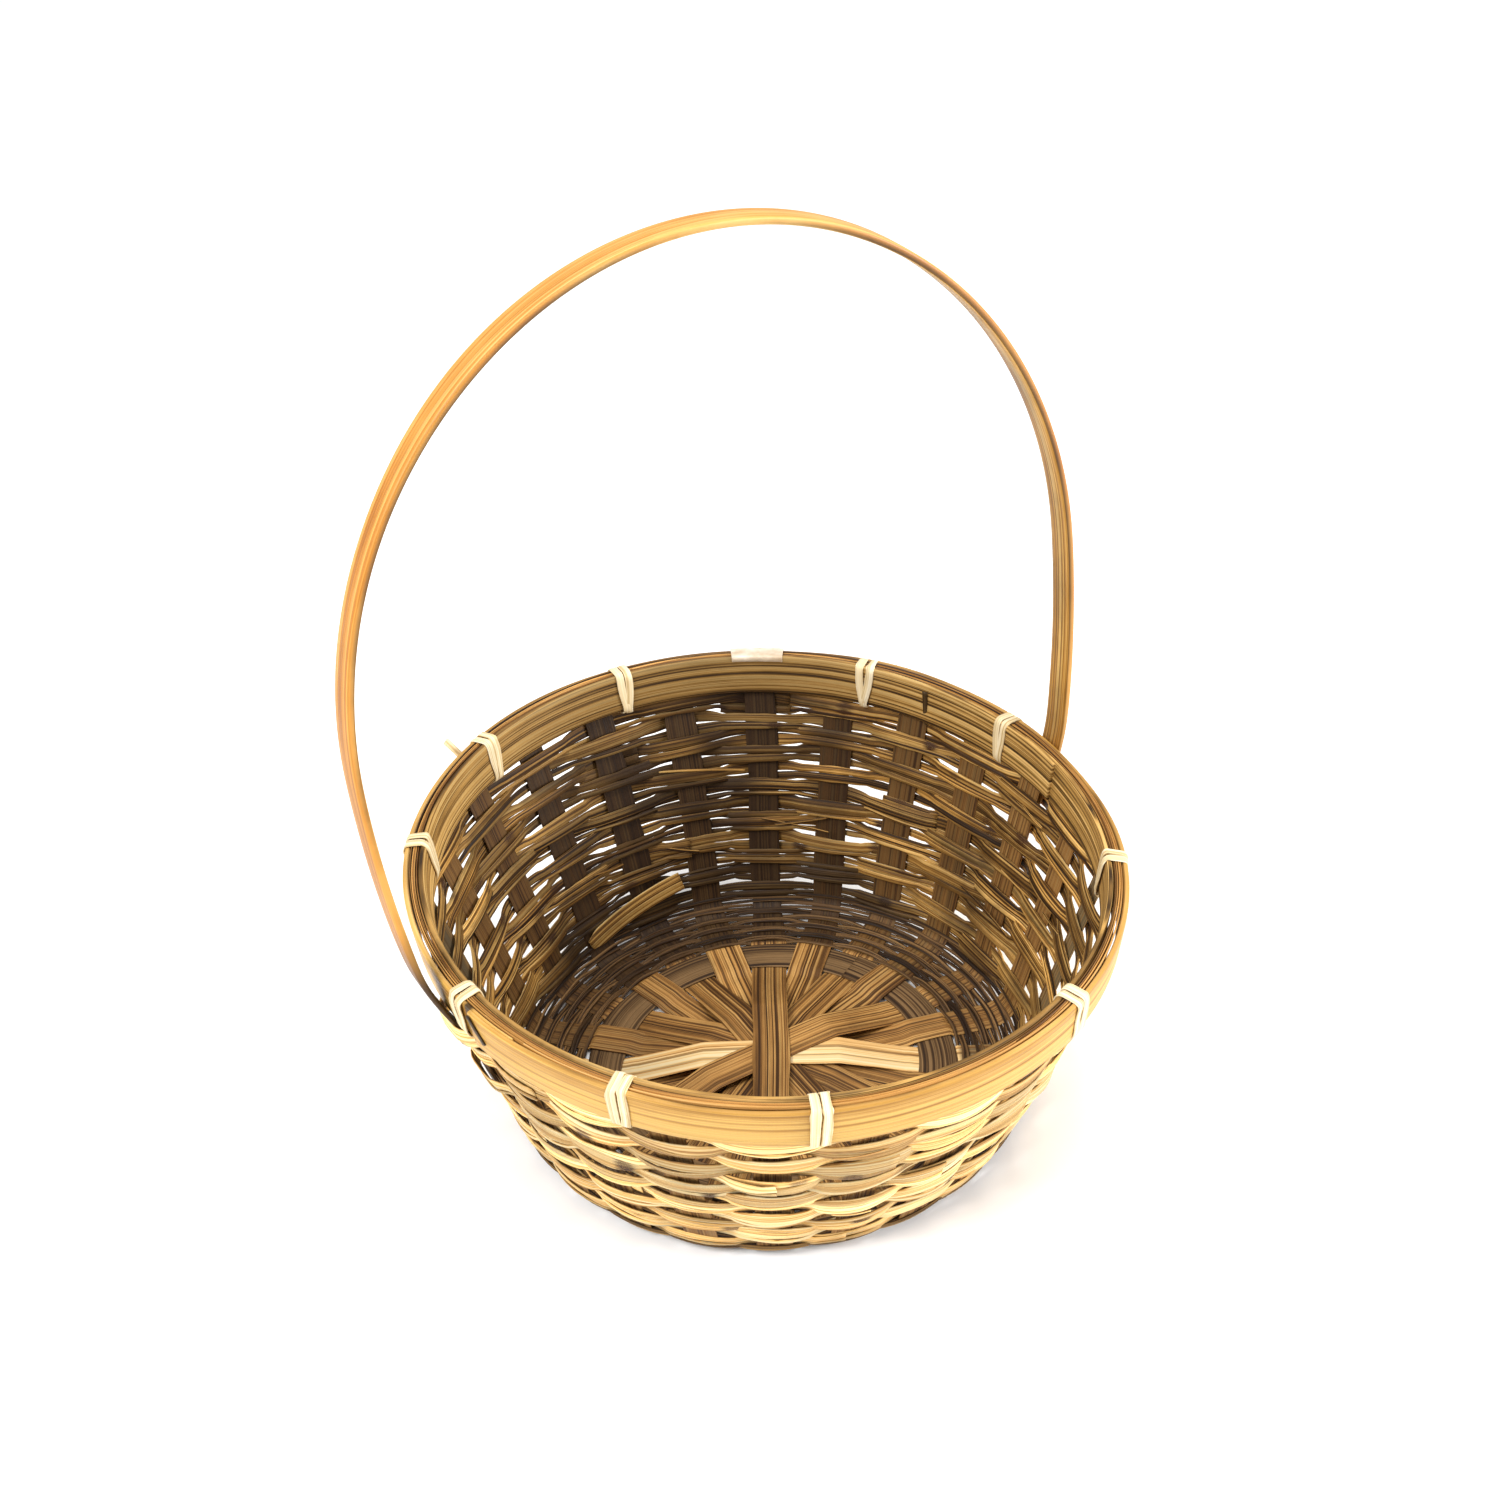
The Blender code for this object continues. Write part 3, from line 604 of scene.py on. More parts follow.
SPLINT = bamboo("splint_bamboo", SPLINT_SKIN, SPLINT_TONES, grain=3600.0, lines=0.7, stain=0.4)
PALE_SPLINT = bamboo(
    "pale_splint_bamboo", PALE_SPLINT_TONES, PALE_SPLINT_TONES, grain=1500.0, lines=0.5, stain=0.1
)
FINE = bamboo("fine_weaver_bamboo", FINE_SKIN, FINE_TONES, stain=0.5, roughness=0.6)
BAND = bamboo("floor_band_bamboo", BAND_TONES, BAND_TONES, grain=2600.0, stain=0.3, roughness=0.6)
WEAVER = bamboo("wall_weaver_bamboo", WEAVER_SKIN, WEAVER_INNER, knots=1.0, stain=0.8, spread=0.5)
OUTER_HOOP = bamboo(
    "outer_hoop_bamboo", HOOP_TONES, INNER_HOOP_TONES, grain=1500.0, lines=0.12, stain=0.15,
    roughness=0.42, gloss=0.3,
)
INNER_HOOP = bamboo(
    "inner_hoop_bamboo", INNER_HOOP_TONES, INNER_HOOP_TONES, grain=2800.0, lines=0.6, stain=0.85
)
RIM_TOP = bamboo(
    "rim_strand_bamboo", RIM_TOP_TONES, RIM_TOP_TONES, grain=1900.0, lines=1.0, stain=0.2, spread=0.35
)
HANDLE = bamboo(
    "handle_bamboo", HANDLE_SKIN, HANDLE_INNER, grain=2000.0, lines=0.6, stain=0.45, roughness=0.42,
    gloss=0.3,
)
CANE = bamboo(
    "lashing_cane", CANE_TONES, CANE_TONES, grain=3600.0, lines=0.0, roughness=0.5, spread=0.08
)


def tape_material():
    """Make the milky, creased tape."""
    made = bpy.data.materials.new("clear_tape")
    made.use_nodes = True
    tree = made.node_tree
    shader = tree.nodes["Principled BSDF"]
    place = add_node(tree, "ShaderNodeTexCoord").outputs["Object"]
    cloud = add_node(tree, "ShaderNodeTexNoise", {"Vector": place, "Scale": 190.0, "Detail": 4.0})
    colour = ramp(tree, cloud.outputs["Fac"], list(zip(TAPE_PLACES, TAPE_TONES)))
    tree.links.new(colour, shader.inputs["Base Color"])
    shader.inputs["Roughness"].default_value = 0.4
    tree.links.new(map_range(tree, cloud.outputs["Fac"], 0.3, 0.7, 0.56, 0.74), shader.inputs["Alpha"])
    bump = add_node(
        tree, "ShaderNodeBump", {"Height": cloud.outputs["Fac"], "Strength": 0.5, "Distance": 0.0003}
    )
    tree.links.new(bump.outputs["Normal"], shader.inputs["Normal"])
    return made


# Floor.

def floor_height(radius, rank):
    """Return the height of a splint at each radius.

    Its rank in the stack sets its height at the middle. From there it comes down to the floor, passes over
    the band or under it, and reaches the level of the fine rows.
    """
    clear = BAND_CLEAR if rank < OVER_BAND else -BAND_CLEAR
    down = np.clip((radius - STACK_RADIUS) / (SPREAD_RADIUS - STACK_RADIUS), 0.0, 1.0)
    stacked = blend(STACK_BOTTOM + STACK_STEP * rank, BAND_Z - SPREAD_DIP * clear, down)
    to_band = ease((radius - SPREAD_RADIUS) / (BAND_INNER - SPREAD_RADIUS))
    past_band = ease((radius - BAND_OUTER) / (FLOOR_START - BAND_OUTER + PAST_FLOOR_START))
    return blend(blend(stacked, BAND_Z + clear, to_band), FLOOR_Z, past_band)


def make_splint(number, rank):
    """Make one splint: down one wall, across the floor and up the wall opposite."""
    random = np.random.default_rng(100 + number)
    azimuth = math.pi * number / (STAKES // 2)
    direction = np.array([math.cos(azimuth), math.sin(azimuth), 0.0])
    sideways = np.array([-math.sin(azimuth), math.cos(azimuth), 0.0])
    on_floor = np.linspace(0.0, FLOOR_START, 60)[:-1]
    runs = np.linspace(0.0, STAKE_TOP, 100)
    radius, height = stake_line(runs)[:2]
    distance = np.concatenate([on_floor, oval(radius, height, azimuth)])
    level = np.concatenate([floor_height(on_floor, rank), height])
    half_width = np.concatenate([
        np.full(len(on_floor), SPLINT_HALF_FLOOR),
        blend(SPLINT_HALF_FLOOR, SPLINT_HALF_WALL, np.clip(runs / WALL_START, 0.0, 1.0)),
    ])
    distance = np.concatenate([-distance[::-1], distance[1:]])
    level = np.concatenate([level[::-1], level[1:]])
    half_width = np.concatenate([half_width[::-1], half_width[1:]])
    turns = np.linspace(0.0, 2.0 * math.pi, len(distance))
    drift = SPLINT_DRIFT * wander(random, turns, 1.0, 5.0)
    centres = distance[:, None] * direction + drift[:, None] * sideways
    centres[:, 2] = level
    half_width = half_width + STRIP_WANDER * wander(random, turns, 3.0, 14.0)
    across = np.broadcast_to(-sideways, centres.shape)
    end_azimuth = np.where(np.arange(len(distance)) < len(distance) / 2, azimuth + math.pi, azimuth)
    # Painted shade: the stakes are darkened where they stand in the wall behind the weavers, and more at
    # the back.
    past_band = ease((np.abs(distance) - BAND_OUTER) / STAKE_SHADE_FADE)
    char_and_shade = (back_shade(end_azimuth) + STAKE_SHADE) * past_band
    if number == PALE_SPLINT_NUMBER:
        char_and_shade = PALE_SPLINT_SHADE * char_and_shade
    strip = random_strip(random)
    shape = loft(centres, across, half_width, SPLINT_THICKNESS / 2.0, BOARD, strip, char_and_shade=char_and_shade)
    name = f"floor_splint_{number + 1:02d}"
    finish = PALE_SPLINT if number == PALE_SPLINT_NUMBER else SPLINT
    make_piece(name + "_bamboo", [shape], finish, [name])


def make_floor_band():
    """Make the flat band, which lies between the splints that pass over and under it."""
    random = np.random.default_rng(7)
    turns = full_turn(BAND_START, math.radians(12.0))
    radius = (BAND_INNER + BAND_OUTER) / 2.0 + BROAD_WANDER * wander(random, turns, 2.0, 9.0)
    level = BAND_Z + lapped(turns, BAND_LAP)
    centres = polar(radius, turns, level)
    across = polar(1.0, turns, 0.0)
    half_width = (BAND_OUTER - BAND_INNER) / 2.0 + BAND_EDGE
    half_width = half_width + BROAD_WANDER * wander(random, turns, 3.0, 12.0)
    shape = loft(centres, across, half_width, SPLINT_THICKNESS / 2.0, BOARD, BAND_STRIP)
    make_piece("floor_band_bamboo", [shape], BAND, ["floor_band"])


def make_fine_weaver(row):
    """Make one fine row: two flattened strands that cross each other.

    The last row has a second pair above it, which closes the gap to the wall's first row.
    """
    random = np.random.default_rng(200 + row)
    places = [row, row + 1] if row == FINE_ROWS - 1 else [row]
    shapes = []
    for place in places:
        for phase in (0, 1):
            turns = full_turn(random.uniform(0.0, 6.0), math.radians(14.0))
            shift = blend(-FINE_SHIFT, FINE_SHIFT, phase) + UNEVEN * wander(random, turns, 5.0, 30.0)
            offset = FINE_WAVE * weave(turns, place + phase) + lapped(turns, FINE_LAP)
            centres, across = round_points(turns, FINE_FIRST + FINE_PITCH * place + shift, offset)
            half_width = FINE_HALF_WIDTH * (1.0 + 0.07 * wander(random, turns, 8.0, 40.0))
            twist = 0.10 * wander(random, turns, 6.0, 24.0)
            # The strands get part of the shade painted at the back.
            shapes.append(loft(
                centres, across, half_width, FINE_THICKNESS / 2.0, STRAND, random_strip(random), twist,
                char_and_shade=FINE_BACK_SHADE * back_shade(turns),
            ))
    name = f"fine_weaver_{row + 1:02d}"
    make_piece(name + "_strands", shapes, FINE, [name])


def foot_distance(height):
    """Return the distance of the handle's middle line from the axis, from its foot to the shoulder."""
    hoop_radius, hoop_height = stake_line(HOOP_LOW)[:2]
    beside_hoop = oval(hoop_radius, hoop_height, 0.0) + HOOP_OFFSET + HOOP_THICKNESS / 2.0 + FOOT_CLEAR
    rim_height = float(stake_line(HOOP_TOP)[1])
    seat_radius, seat_height = stake_line(wall_run(np.minimum(height, FOOT_SEAT)))[:2]
    on_stake = oval(seat_radius, seat_height, 0.0) + FOOT_OFF_STAKE
    past_seat = np.clip((height - FOOT_SEAT) / (hoop_height - FOOT_SEAT), 0.0, 1.0)
    past_hoop = np.clip((height - hoop_height) / (rim_height - hoop_height), 0.0, 1.0)
    below_shoulder = (np.maximum(height, rim_height) - HANDLE_SHOULDER) / HANDLE_DROP
    arch = HANDLE_HALF_SPAN * np.sqrt(1.0 - below_shoulder ** 2)
    return blend(blend(on_stake, beside_hoop, past_seat), arch, past_hoop)


def foot_bulge(turns, run):
    """Return how far an outer strip is pushed out where it passes over a foot of the handle."""
    radius, height = stake_line(run)[:2]
    reach = (foot_distance(height) - oval(radius, height, 0.0)) + FOOT_CLEAR
    reach = reach * ease((height - FOOT_END + BULGE_BELOW_FOOT) / BULGE_RISE)
    sideways = np.abs((turns + math.pi / 2.0) % math.pi - math.pi / 2.0) * radius
    return reach * ease(1.0 - (sideways - BULGE_HALF_WIDTH) / BULGE_FADE)


def wall_wave(random, turns, swing, row, run, middle):
    """Return how far a wall row stands off the stakes: out over one and in under the next."""
    bulge = blend(WALL_WAVE_FOOT, WALL_WAVE_OUT, ease((run - WALL_FIRST) / (3.0 * WALL_PITCH)))
    wave = np.where(swing > 0.0, bulge * swing, WALL_WAVE_IN * swing)
    wave = wave * (1.0 + 0.2 * wander(random, turns, 3.0, 9.0))
    if row >= WALL_ROWS:
        wave = 0.0
    else:
        over_foot = foot_bulge(turns, middle) * np.minimum(swing * BULGE_ONSET, 1.0)
        wave = np.where(swing > 0.0, np.maximum(wave, over_foot), wave)
    return wave + lapped(turns, WALL_LAP) + STRIP_WANDER * wander(random, turns, 4.0, 12.0)


def wall_strips(random, row, run, half_width):
    """Return the strips of a wall row: one width of bamboo whose splits open over each stake."""
    turns = full_turn(random.uniform(0.0, 2.0 * math.pi), math.radians(13.0))
    swing = weave(turns, FINE_ROWS + row)
    outside = np.maximum(swing, 0.0)
    middle = run + WALL_DRIFT * wander(random, turns, 2.0, 6.0) * (row > 0)
    spread = FIRST_ROW_SPREAD if row == 0 else WALL_SPREAD
    lens = WALL_PINCH + np.where(swing > 0.0, spread, WALL_SPREAD_INSIDE) * np.abs(swing) ** 0.7
    reach = half_width * lens * (1.0 + 0.12 * wander(random, turns, 2.0, 8.0))
    wave = wall_wave(random, turns, swing, row, run, middle)
    splits = [random.uniform(-0.5, 0.0), random.uniform(0.1, 0.5)][:random.choice((1, 1, 2))]
    edges = [np.full_like(turns, -1.0)]
    for split in splits:
        edges.append(split + 0.12 * wander(random, turns, 3.0, 9.0))
    edges.append(np.full_like(turns, 1.0))
    # Shade painted at the back, varied from strip to strip, and darker towards the bottom of the wall.
    shade_and_darkening = back_shade(turns) * random.uniform(0.55, 1.35) + 0.10 * wander(random, turns, 4.0, 20.0)
    shade_and_darkening = shade_and_darkening + FOOT_DARKENING * ease(1.0 - row / FOOT_DARKENING_ROWS)
    shapes = []
    for low, high in zip(edges[:-1], edges[1:]):
        slit = SPLIT_CLOSED + SPLIT_SLIT * outside * np.abs(wander(random, turns, 3.0, 16.0))
        half = np.maximum(reach * (high - low) / 2.0 - slit, SPLIT_LEAST)
        half = half + STRIP_UNEVEN * wander(random, turns, 30.0, 90.0)
        offset = wave + STRIP_APART * outside * wander(random, turns, 4.0, 12.0)
        centres, across = round_points(turns, middle + reach * (low + high) / 2.0, offset)
        twist = 0.10 * outside * wander(random, turns, 4.0, 12.0)
        half_thickness = WALL_THICKNESS / 2.0 * random.uniform(0.75, 1.1)
        strip = random_strip(random)
        shapes.append(loft(centres, across, half, half_thickness, STRIP, strip, twist, char_and_shade=shade_and_darkening))
    return shapes


def make_wall_weaver(row):
    """Make one wide row of the wall, or one of the rows that the hoops cover."""
    random = np.random.default_rng(300 + row)
    if row < WALL_ROWS:
        shapes = wall_strips(random, row, WALL_FIRST + WALL_PITCH * row, WALL_HALF_WIDTH)
    else:
        run = HIDDEN_FIRST + HIDDEN_PITCH * (row - WALL_ROWS)
        shapes = wall_strips(random, row, run, HIDDEN_HALF_WIDTH)
    name = f"wall_weaver_{row + 1:02d}"
    make_piece(name + "_strips", shapes, WEAVER, [name])


def add_loose(name, ends, heights, offsets, half_width, thickness, finish, char_and_shade=0.0, bend=0.0):
    """Make a loose strip that lies along the wall or rim, from one end to the other.

    ends are the azimuths of its two ends, heights their heights and offsets how far they stand off the
    stakes' middle. bend pushes the strip's middle outward.
    """
    share = np.linspace(0.0, 1.0, LOOSE_STATIONS)
    turns = blend(ends[0], ends[1], share)
    height = blend(heights[0], heights[1], share)
    offset = blend(offsets[0], offsets[1], share) + bend * np.sin(math.pi * share)
    radius = stake_line(wall_run(height))[0]
    distance = oval(radius, height, turns) + offset
    centres = polar(distance, turns, height)
    across = -np.cross(polar(-1.0, turns, WALL_SLANT), np.gradient(centres, axis=0))
    strip = ends[0] * 7.0 + heights[0] * 900.0
    tapered = half_width * np.minimum(1.0, 0.55 + 4.0 * share)
    shape = loft(centres, across, tapered, thickness / 2.0, STRIP, strip, char_and_shade=char_and_shade)
    return make_piece(name, [shape], finish, [])


def make_loose_ends():
    """Make a broken weaver inside the back wall, a tie's cut tail, a charred stub, a dark sliver painted
    as the shadow in the outer hoop's joint, and slivers.
    """
    add_loose(
        "broken_weaver_end", np.radians((108.0, 81.0)), (0.0090, 0.0190), (-0.0012, -0.0042),
        0.0036, 0.0008, WEAVER, char_and_shade=0.12,
    )
    add_loose(
        "lashing_tail", np.radians((117.2, 118.6)), (0.0890, 0.0985), (0.0045, 0.0100),
        0.0013, 0.0012, CANE,
    )
    add_loose(
        "charred_stub", np.radians((26.2, 26.5)), (0.0815, 0.0955), (-0.0026, -0.0046),
        0.0009, 0.0007, WEAVER, char_and_shade=1.3,
    )
    # A dark sliver over the outer hoop's joint: painted shadow of the gap where the hoop's end tucks in
    # behind its start.
    add_loose(
        "hoop_joint_shadow_sliver", np.radians((189.8, 192.6)), (0.0958, 0.0868), (0.0047, 0.0044),
        0.0012, 0.0006, WEAVER, char_and_shade=1.5,
    )
    random = np.random.default_rng(800)
    for number in range(SLIVERS):
        start = random.uniform(0.0, 2.0 * math.pi)
        reach = random.uniform(0.12, 0.38) * random.choice((-1.0, 1.0))
        height = random.uniform(0.022, 0.074)
        rise = random.uniform(-0.005, 0.006)
        side = 1.0 if number % OUTSIDE_SLIVER == 0 else -1.0
        add_loose(
            f"sliver_{number + 1:02d}", (start, start + reach), (height, height + rise),
            (side * SLIVER_OFFSET, side * random.uniform(0.0030, 0.0046)),
            random.uniform(0.00025, 0.0006), SLIVER_THICKNESS, WEAVER,
            bend=side * SLIVER_BEND,
        )


# Rim.

HOOPS = (  # name, side, azimuth of the joint, material, seed, and how charred the joint is
    ("rim_outer_hoop", 1.0, math.radians(189.5), OUTER_HOOP, 403, 1.4),
    ("rim_inner_hoop", -1.0, math.radians(352.0), INNER_HOOP, 401, 0.3),
)


def make_hoop(name, side, start, finish, seed, char):
    """Make one broad hoop, whose end is tucked in behind its start and whose skin faces off the wall."""
    random = np.random.default_rng(seed)
    turns = full_turn(start, math.radians(10.0))
    run = (HOOP_LOW + HOOP_TOP) / 2.0 + RIM_DRIFT * wander(random, turns, 2.0, 9.0)
    tuck = lapped(turns, -HOOP_TUCK * side)
    offset = side * HOOP_OFFSET + tuck + UNEVEN * wander(random, turns, 2.0, 8.0)
    centres, across = round_points(turns, run, offset)
    half_width = HOOP_HEIGHT / 2.0 + BROAD_WANDER * wander(random, turns, 2.0, 12.0)
    thinned = ease((turns[-1] - turns) / HOOP_THINNING)
    thickness = HOOP_THICKNESS * (0.5 + 0.5 * thinned)
    from_joint = turns - start - 2.0 * math.pi + HOOP_CHAR_BEFORE
    beside_joint = np.exp(-(from_joint / HOOP_CHAR_SPREAD) ** 2)
    strip = random_strip(random)
    # Shade painted at the back, and the charred mark beside the joint.
    char_and_shade = HOOP_BACK_SHADE * back_shade(turns) + char * beside_joint
    shape = loft(centres, across, half_width, thickness / 2.0, BOARD, strip, char_and_shade=char_and_shade)
    if side < 0.0:
        points, faces, fibre, skin, char_and_shade = shape
        shape = points, faces, fibre, 1.0 - skin, char_and_shade
    make_piece(name + "_bamboo", [shape], finish, [name])


def make_filler(name, side):
    """Make one filler of the gap between the hoops: two thin strands on one side of the stakes."""
    random = np.random.default_rng(410 if side > 0.0 else 411)
    shapes = []
    for place in (-0.4, 0.4):
        turns = full_turn(STRAND_JOINT + STRAND_JOINT_STEP * (place + side), math.radians(9.0))
        run = HOOP_TOP - STRAND_BELOW_TOP + STRAND_STEP_UP * place
        run = run + RIM_DRIFT * wander(random, turns, 2.0, 14.0)
        offset = side * STRAND_OFFSET + place * STRAND_STEP_OUT
        offset = offset + STRAND_UNEVEN * wander(random, turns, 3.0, 12.0)
        centres, across = round_points(turns, run, offset)
        strip = random_strip(random)
        shapes.append(loft(centres, across, STRAND_HALF_WIDTH, STRAND_HALF_THICKNESS, STRAND, strip))
    make_piece(name + "_strands", shapes, RIM_TOP, [name])


def rim_radius(azimuth):
    """Return the radius of the stakes' middle at the hoops' lower edge."""
    radius, height = stake_line(HOOP_LOW)[:2]
    return float(oval(radius, height, azimuth))


def rim_frame(azimuth):
    """Return the rim's middle at an azimuth, and the ways out, up the hoops and round the rim."""
    centres, up = round_points(np.array([azimuth]), (HOOP_LOW + HOOP_TOP) / 2.0, 0.0)
    round_rim = np.array([-math.sin(azimuth), math.cos(azimuth), 0.0])
    return centres[0], np.cross(round_rim, up[0]), up[0], round_rim


def make_lashing(number, stake, sideways):
    """Make one lashing: two turns of split cane side by side, drawn together at the bottom inside."""
    random = np.random.default_rng(600 + number)
    stake_azimuth = 2.0 * math.pi * stake / STAKES
    middle, out, up, round_rim = rim_frame(stake_azimuth + sideways / rim_radius(stake_azimuth))
    angles = np.linspace(0.0, 2.0 * math.pi, 73)[:-1]
    reach_out = squared(np.cos(angles), LASHING_SQUARENESS)
    reach_up = squared(np.sin(angles), LASHING_SQUARENESS)
    drawn = ease((0.35 - reach_up) / 1.3) * ease(0.5 - reach_out / 2.0)
    shapes = []
    for side in (-1.0, 1.0):
        half_width = CANE_HALF_WIDTH * random.uniform(0.92, 1.08)
        slack = CANE_SLACK * wander(random, angles, 1.0, 5.0)
        slack = slack + (CANE_OVER if side < 0.0 else CANE_UNDER) * drawn
        shift = side * blend(CANE_APART, CANE_DRAWN, drawn) + UNEVEN * wander(random, angles, 1.0, 3.0)
        shift = shift + random.uniform(-CANE_SLANT, CANE_SLANT) * reach_up
        centres = (
            middle
            + ((LASHING_HALF_ACROSS + slack) * reach_out)[:, None] * out
            + ((LASHING_HALF_ALONG + slack) * reach_up)[:, None] * up
            + shift[:, None] * round_rim
        )
        across = np.broadcast_to(-round_rim, centres.shape)
        half = half_width * (1.0 + 0.06 * wander(random, angles, 1.0, 6.0) - 0.2 * drawn)
        strip = random_strip(random)
        shapes.append(loft(centres, across, half, LASHING_THICKNESS / 2.0, STRIP, strip, closed=True))
    name = f"rim_lashing_{number + 1:02d}"
    make_piece(name + "_cane", shapes, CANE, [name])


def tape_path():
    """Return the tape's line over the rim, as the share of its half width and the height up the hoops."""
    below_corner = LASHING_HALF_ALONG - TAPE_CORNER
    flat = 1.0 - TAPE_CORNER_SHARE
    corner = np.linspace(0.0, math.pi / 2.0, 5)[1:]
    path = []
    for share in np.linspace(0.0, 1.0, 12):
        path.append((1.0, blend(LASHING_HALF_ALONG - TAPE_OUTSIDE, below_corner, share)))
    for angle in corner:
        along = LASHING_HALF_ALONG - TAPE_CORNER * (1.0 - math.sin(angle))
        path.append((1.0 - TAPE_CORNER_SHARE * (1.0 - math.cos(angle)), along))
    for share in np.linspace(0.0, 1.0, 8)[1:]:
        path.append((blend(flat, -flat, share), LASHING_HALF_ALONG))
    for angle in corner:
        along = LASHING_HALF_ALONG - TAPE_CORNER * (1.0 - math.cos(angle))
        path.append((-flat - TAPE_CORNER_SHARE * math.sin(angle), along))
    path.append((-1.0, LASHING_HALF_ALONG - TAPE_INSIDE))
    return path


def make_tape():
    """Make the creased patch of tape over the rim."""
    random = np.random.default_rng(700)
    path = tape_path()
    azimuth = 2.0 * math.pi * TAPE_STAKE / STAKES
    half_across = LASHING_HALF_ACROSS - TAPE_CLOSER
    vertices = []
    for column in range(TAPE_COLUMNS):
        sideways = TAPE_WIDTH * (column / (TAPE_COLUMNS - 1) - 0.5)
        middle, out, up = rim_frame(azimuth + sideways / rim_radius(azimuth))[:3]
        for across, along in path:
            crease = random.uniform(-TAPE_CREASE, TAPE_CREASE)
            vertices.append(middle + out * (across * half_across + crease) + up * along)
    faces = []
    for column in range(TAPE_COLUMNS - 1):
        for step in range(len(path) - 1):
            here = column * len(path) + step
            there = here + len(path)
            faces.append((here, there, there + 1, here + 1))
    mesh = bpy.data.meshes.new("tape_patch_film")
    mesh.from_pydata([tuple(vertex) for vertex in vertices], [], faces)
    mesh.shade_smooth()
    mesh.materials.append(tape_material())
    tape = add_object("tape_patch_film", mesh)
    film = tape.modifiers.new("Film", "SOLIDIFY")
    film.thickness = TAPE_THICKNESS
    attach(tape, "root")
    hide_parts("tape_patch")


# Handle.

def handle_line():
    """Return the handle's middle line as even points: their distance to the side and their height."""
    lower = np.linspace(FOOT_END, HANDLE_SHOULDER, 80)
    angles = np.linspace(0.0, math.pi / 2.0, 80)[1:]
    distance = np.concatenate([foot_distance(lower), HANDLE_HALF_SPAN * np.cos(angles)])
    height = np.concatenate([lower, HANDLE_SHOULDER + HANDLE_RISE * np.sin(angles)])
    distance = np.concatenate([distance, -distance[-2::-1]])
    height = np.concatenate([height, height[-2::-1]])
    steps = np.concatenate([[0.0], np.cumsum(np.hypot(np.diff(distance), np.diff(height)))])
    even = np.linspace(0.0, steps[-1], HANDLE_POINTS)
    return smoothed(np.interp(even, steps, distance)), smoothed(np.interp(even, steps, height))


def smoothed(values):
    """Smooth a line of values, which keeps its two ends."""
    window = np.hanning(HANDLE_SMOOTHING)
    window /= window.sum()
    padded = HANDLE_SMOOTHING // 2
    before = 2.0 * values[0] - values[padded:0:-1]
    after = 2.0 * values[-1] - values[-2:-padded - 2:-1]
    return np.convolve(np.concatenate([before, values, after]), window, "valid")


def make_handle():
    """Make the handle as one bent strip of split bamboo that thins towards its feet and leans back."""
    random = np.random.default_rng(500)
    distance, height = handle_line()
    lean_start = float(stake_line(HOOP_LOW)[1])
    back = HANDLE_LEAN * np.maximum(0.0, height - lean_start)
    centres = np.stack([distance, back, height], axis=1)
    turns = np.linspace(0.0, 2.0 * math.pi, len(distance))
    above_foot = ease((height - FOOT_SEAT) / FOOT_THINNING)
    half_thickness = blend(FOOT_THICKNESS, HANDLE_THICKNESS, above_foot) / 2.0
    half_width = HANDLE_HALF_WIDTH + UNEVEN * wander(random, turns, 2.0, 10.0)
    across = np.broadcast_to(np.array([0.0, -1.0, 0.0]), centres.shape)
    foot_char = np.where(centres[:, 0] < 0.0, 1.0, RIGHT_FOOT_CHAR)
    char_and_shade = foot_char * (1.0 - ease((height - CHAR_HEIGHT) / CHAR_FADE))
    shape = loft(centres, across, half_width, half_thickness, BOARD, HANDLE_STRIP, char_and_shade=char_and_shade)
    make_piece("carry_handle_bamboo", [shape], HANDLE, ["carry_handle"])


# Stage, light and camera.

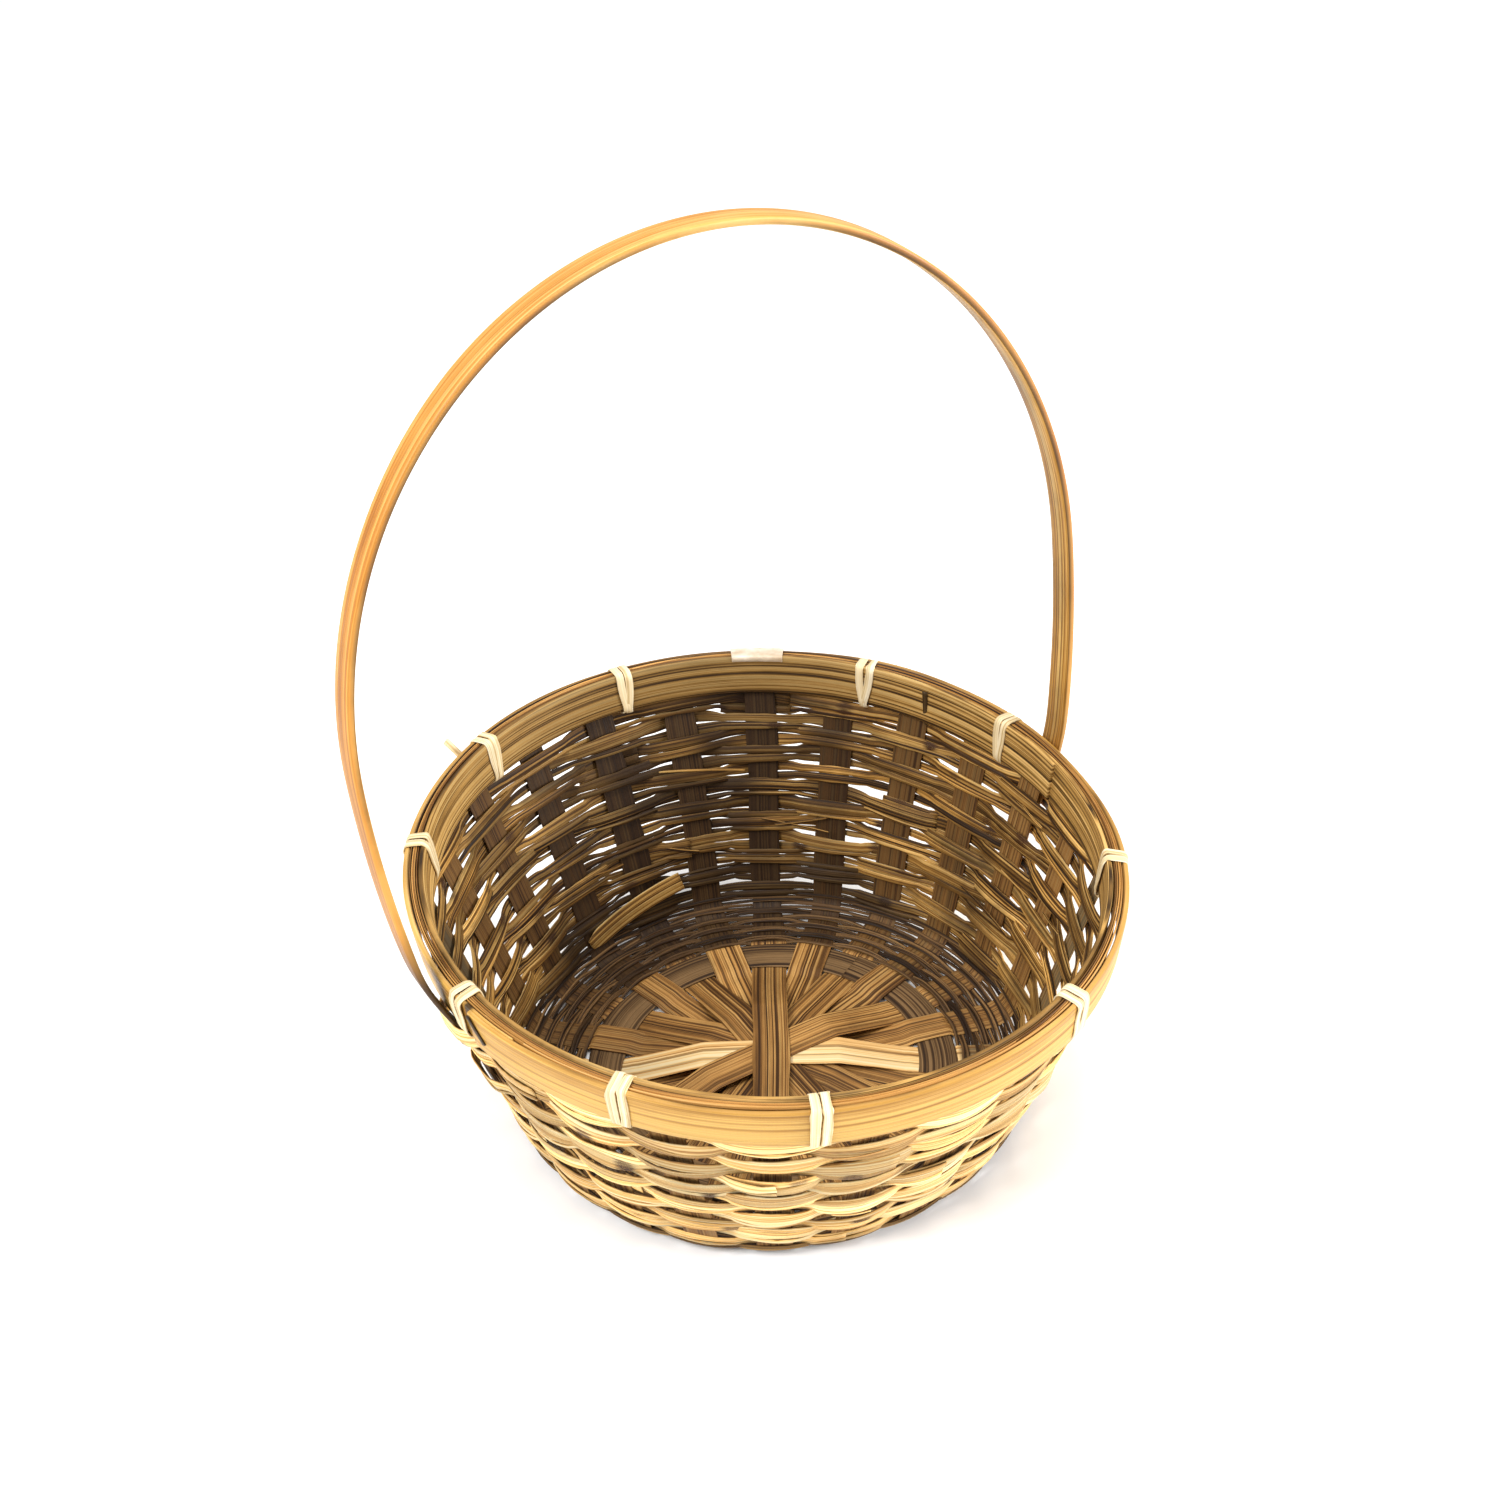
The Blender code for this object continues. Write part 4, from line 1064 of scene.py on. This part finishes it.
def make_stage():
    """Make the plain pale floor and the soft light."""
    mesh = bpy.data.meshes.new("floor")
    size = FLOOR_HALF_SIZE
    corners = [(-size, -size, 0), (size, -size, 0), (size, size, 0), (-size, size, 0)]
    mesh.from_pydata(corners, [], [(0, 1, 2, 3)])
    floor = add_object("floor", mesh)
    pale = bpy.data.materials.new("floor_pale")
    pale.use_nodes = True
    shader = pale.node_tree.nodes["Principled BSDF"]
    shader.inputs["Base Color"].default_value = FLOOR_COLOUR
    shader.inputs["Roughness"].default_value = 0.9
    mesh.materials.append(pale)

    world = bpy.data.worlds.new("studio")
    bpy.context.scene.world = world
    world.use_nodes = True
    background = world.node_tree.nodes["Background"]
    background.inputs["Color"].default_value = WORLD_COLOUR
    background.inputs["Strength"].default_value = WORLD_STRENGTH
    for name, place, size, power in LIGHTS:
        add_area_light(name, place, size, power)


def add_area_light(name, place, size, power):
    """Add a square soft light that shines on the basket."""
    light = bpy.data.lights.new(name, "AREA")
    light.shape = "SQUARE"
    light.size = size
    light.energy = power
    lamp = add_object(name, light)
    lamp.location = place
    lamp.rotation_euler = (LIT_PLACE - Vector(place)).to_track_quat("-Z", "Y").to_euler()


def make_camera():
    """Make the camera that looks down at the basket."""
    forward = Vector((math.sin(CAMERA_HEADING), math.cos(CAMERA_HEADING), 0.0))
    right = Vector((forward.y, -forward.x, 0.0))
    back = -forward * math.cos(CAMERA_DOWN) + Vector((0.0, 0.0, math.sin(CAMERA_DOWN)))
    up = back.cross(right)
    turned_right = right * math.cos(CAMERA_ROLL) + up * math.sin(CAMERA_ROLL)
    turned_up = up * math.cos(CAMERA_ROLL) - right * math.sin(CAMERA_ROLL)
    data = bpy.data.cameras.new("camera")
    data.lens = CAMERA_LENS
    data.sensor_width = CAMERA_SENSOR
    camera = add_object("camera", data)
    turn = Matrix((turned_right, turned_up, back)).transposed().to_4x4()
    camera.matrix_world = Matrix.Translation(CAMERA_PLACE) @ turn
    bpy.context.scene.camera = camera
    bpy.context.scene.view_settings.view_transform = "Standard"


def build():
    """Build every piece round the frame."""
    for rank, number in enumerate(STACK_ORDER):
        make_splint(number, rank)
    make_floor_band()
    for row in range(FINE_ROWS):
        make_fine_weaver(row)
    for row in range(WALL_ROWS + HIDDEN_ROWS):
        make_wall_weaver(row)
    make_loose_ends()
    for hoop in HOOPS:
        make_hoop(*hoop)
    make_filler("rim_filler_strand_outer", 1.0)
    make_filler("rim_filler_strand_inner", -1.0)
    make_handle()
    for number, (stake, sideways) in enumerate(LASHING_PLACES):
        make_lashing(number, stake, sideways)
    make_tape()
    make_stage()
    make_camera()


build()
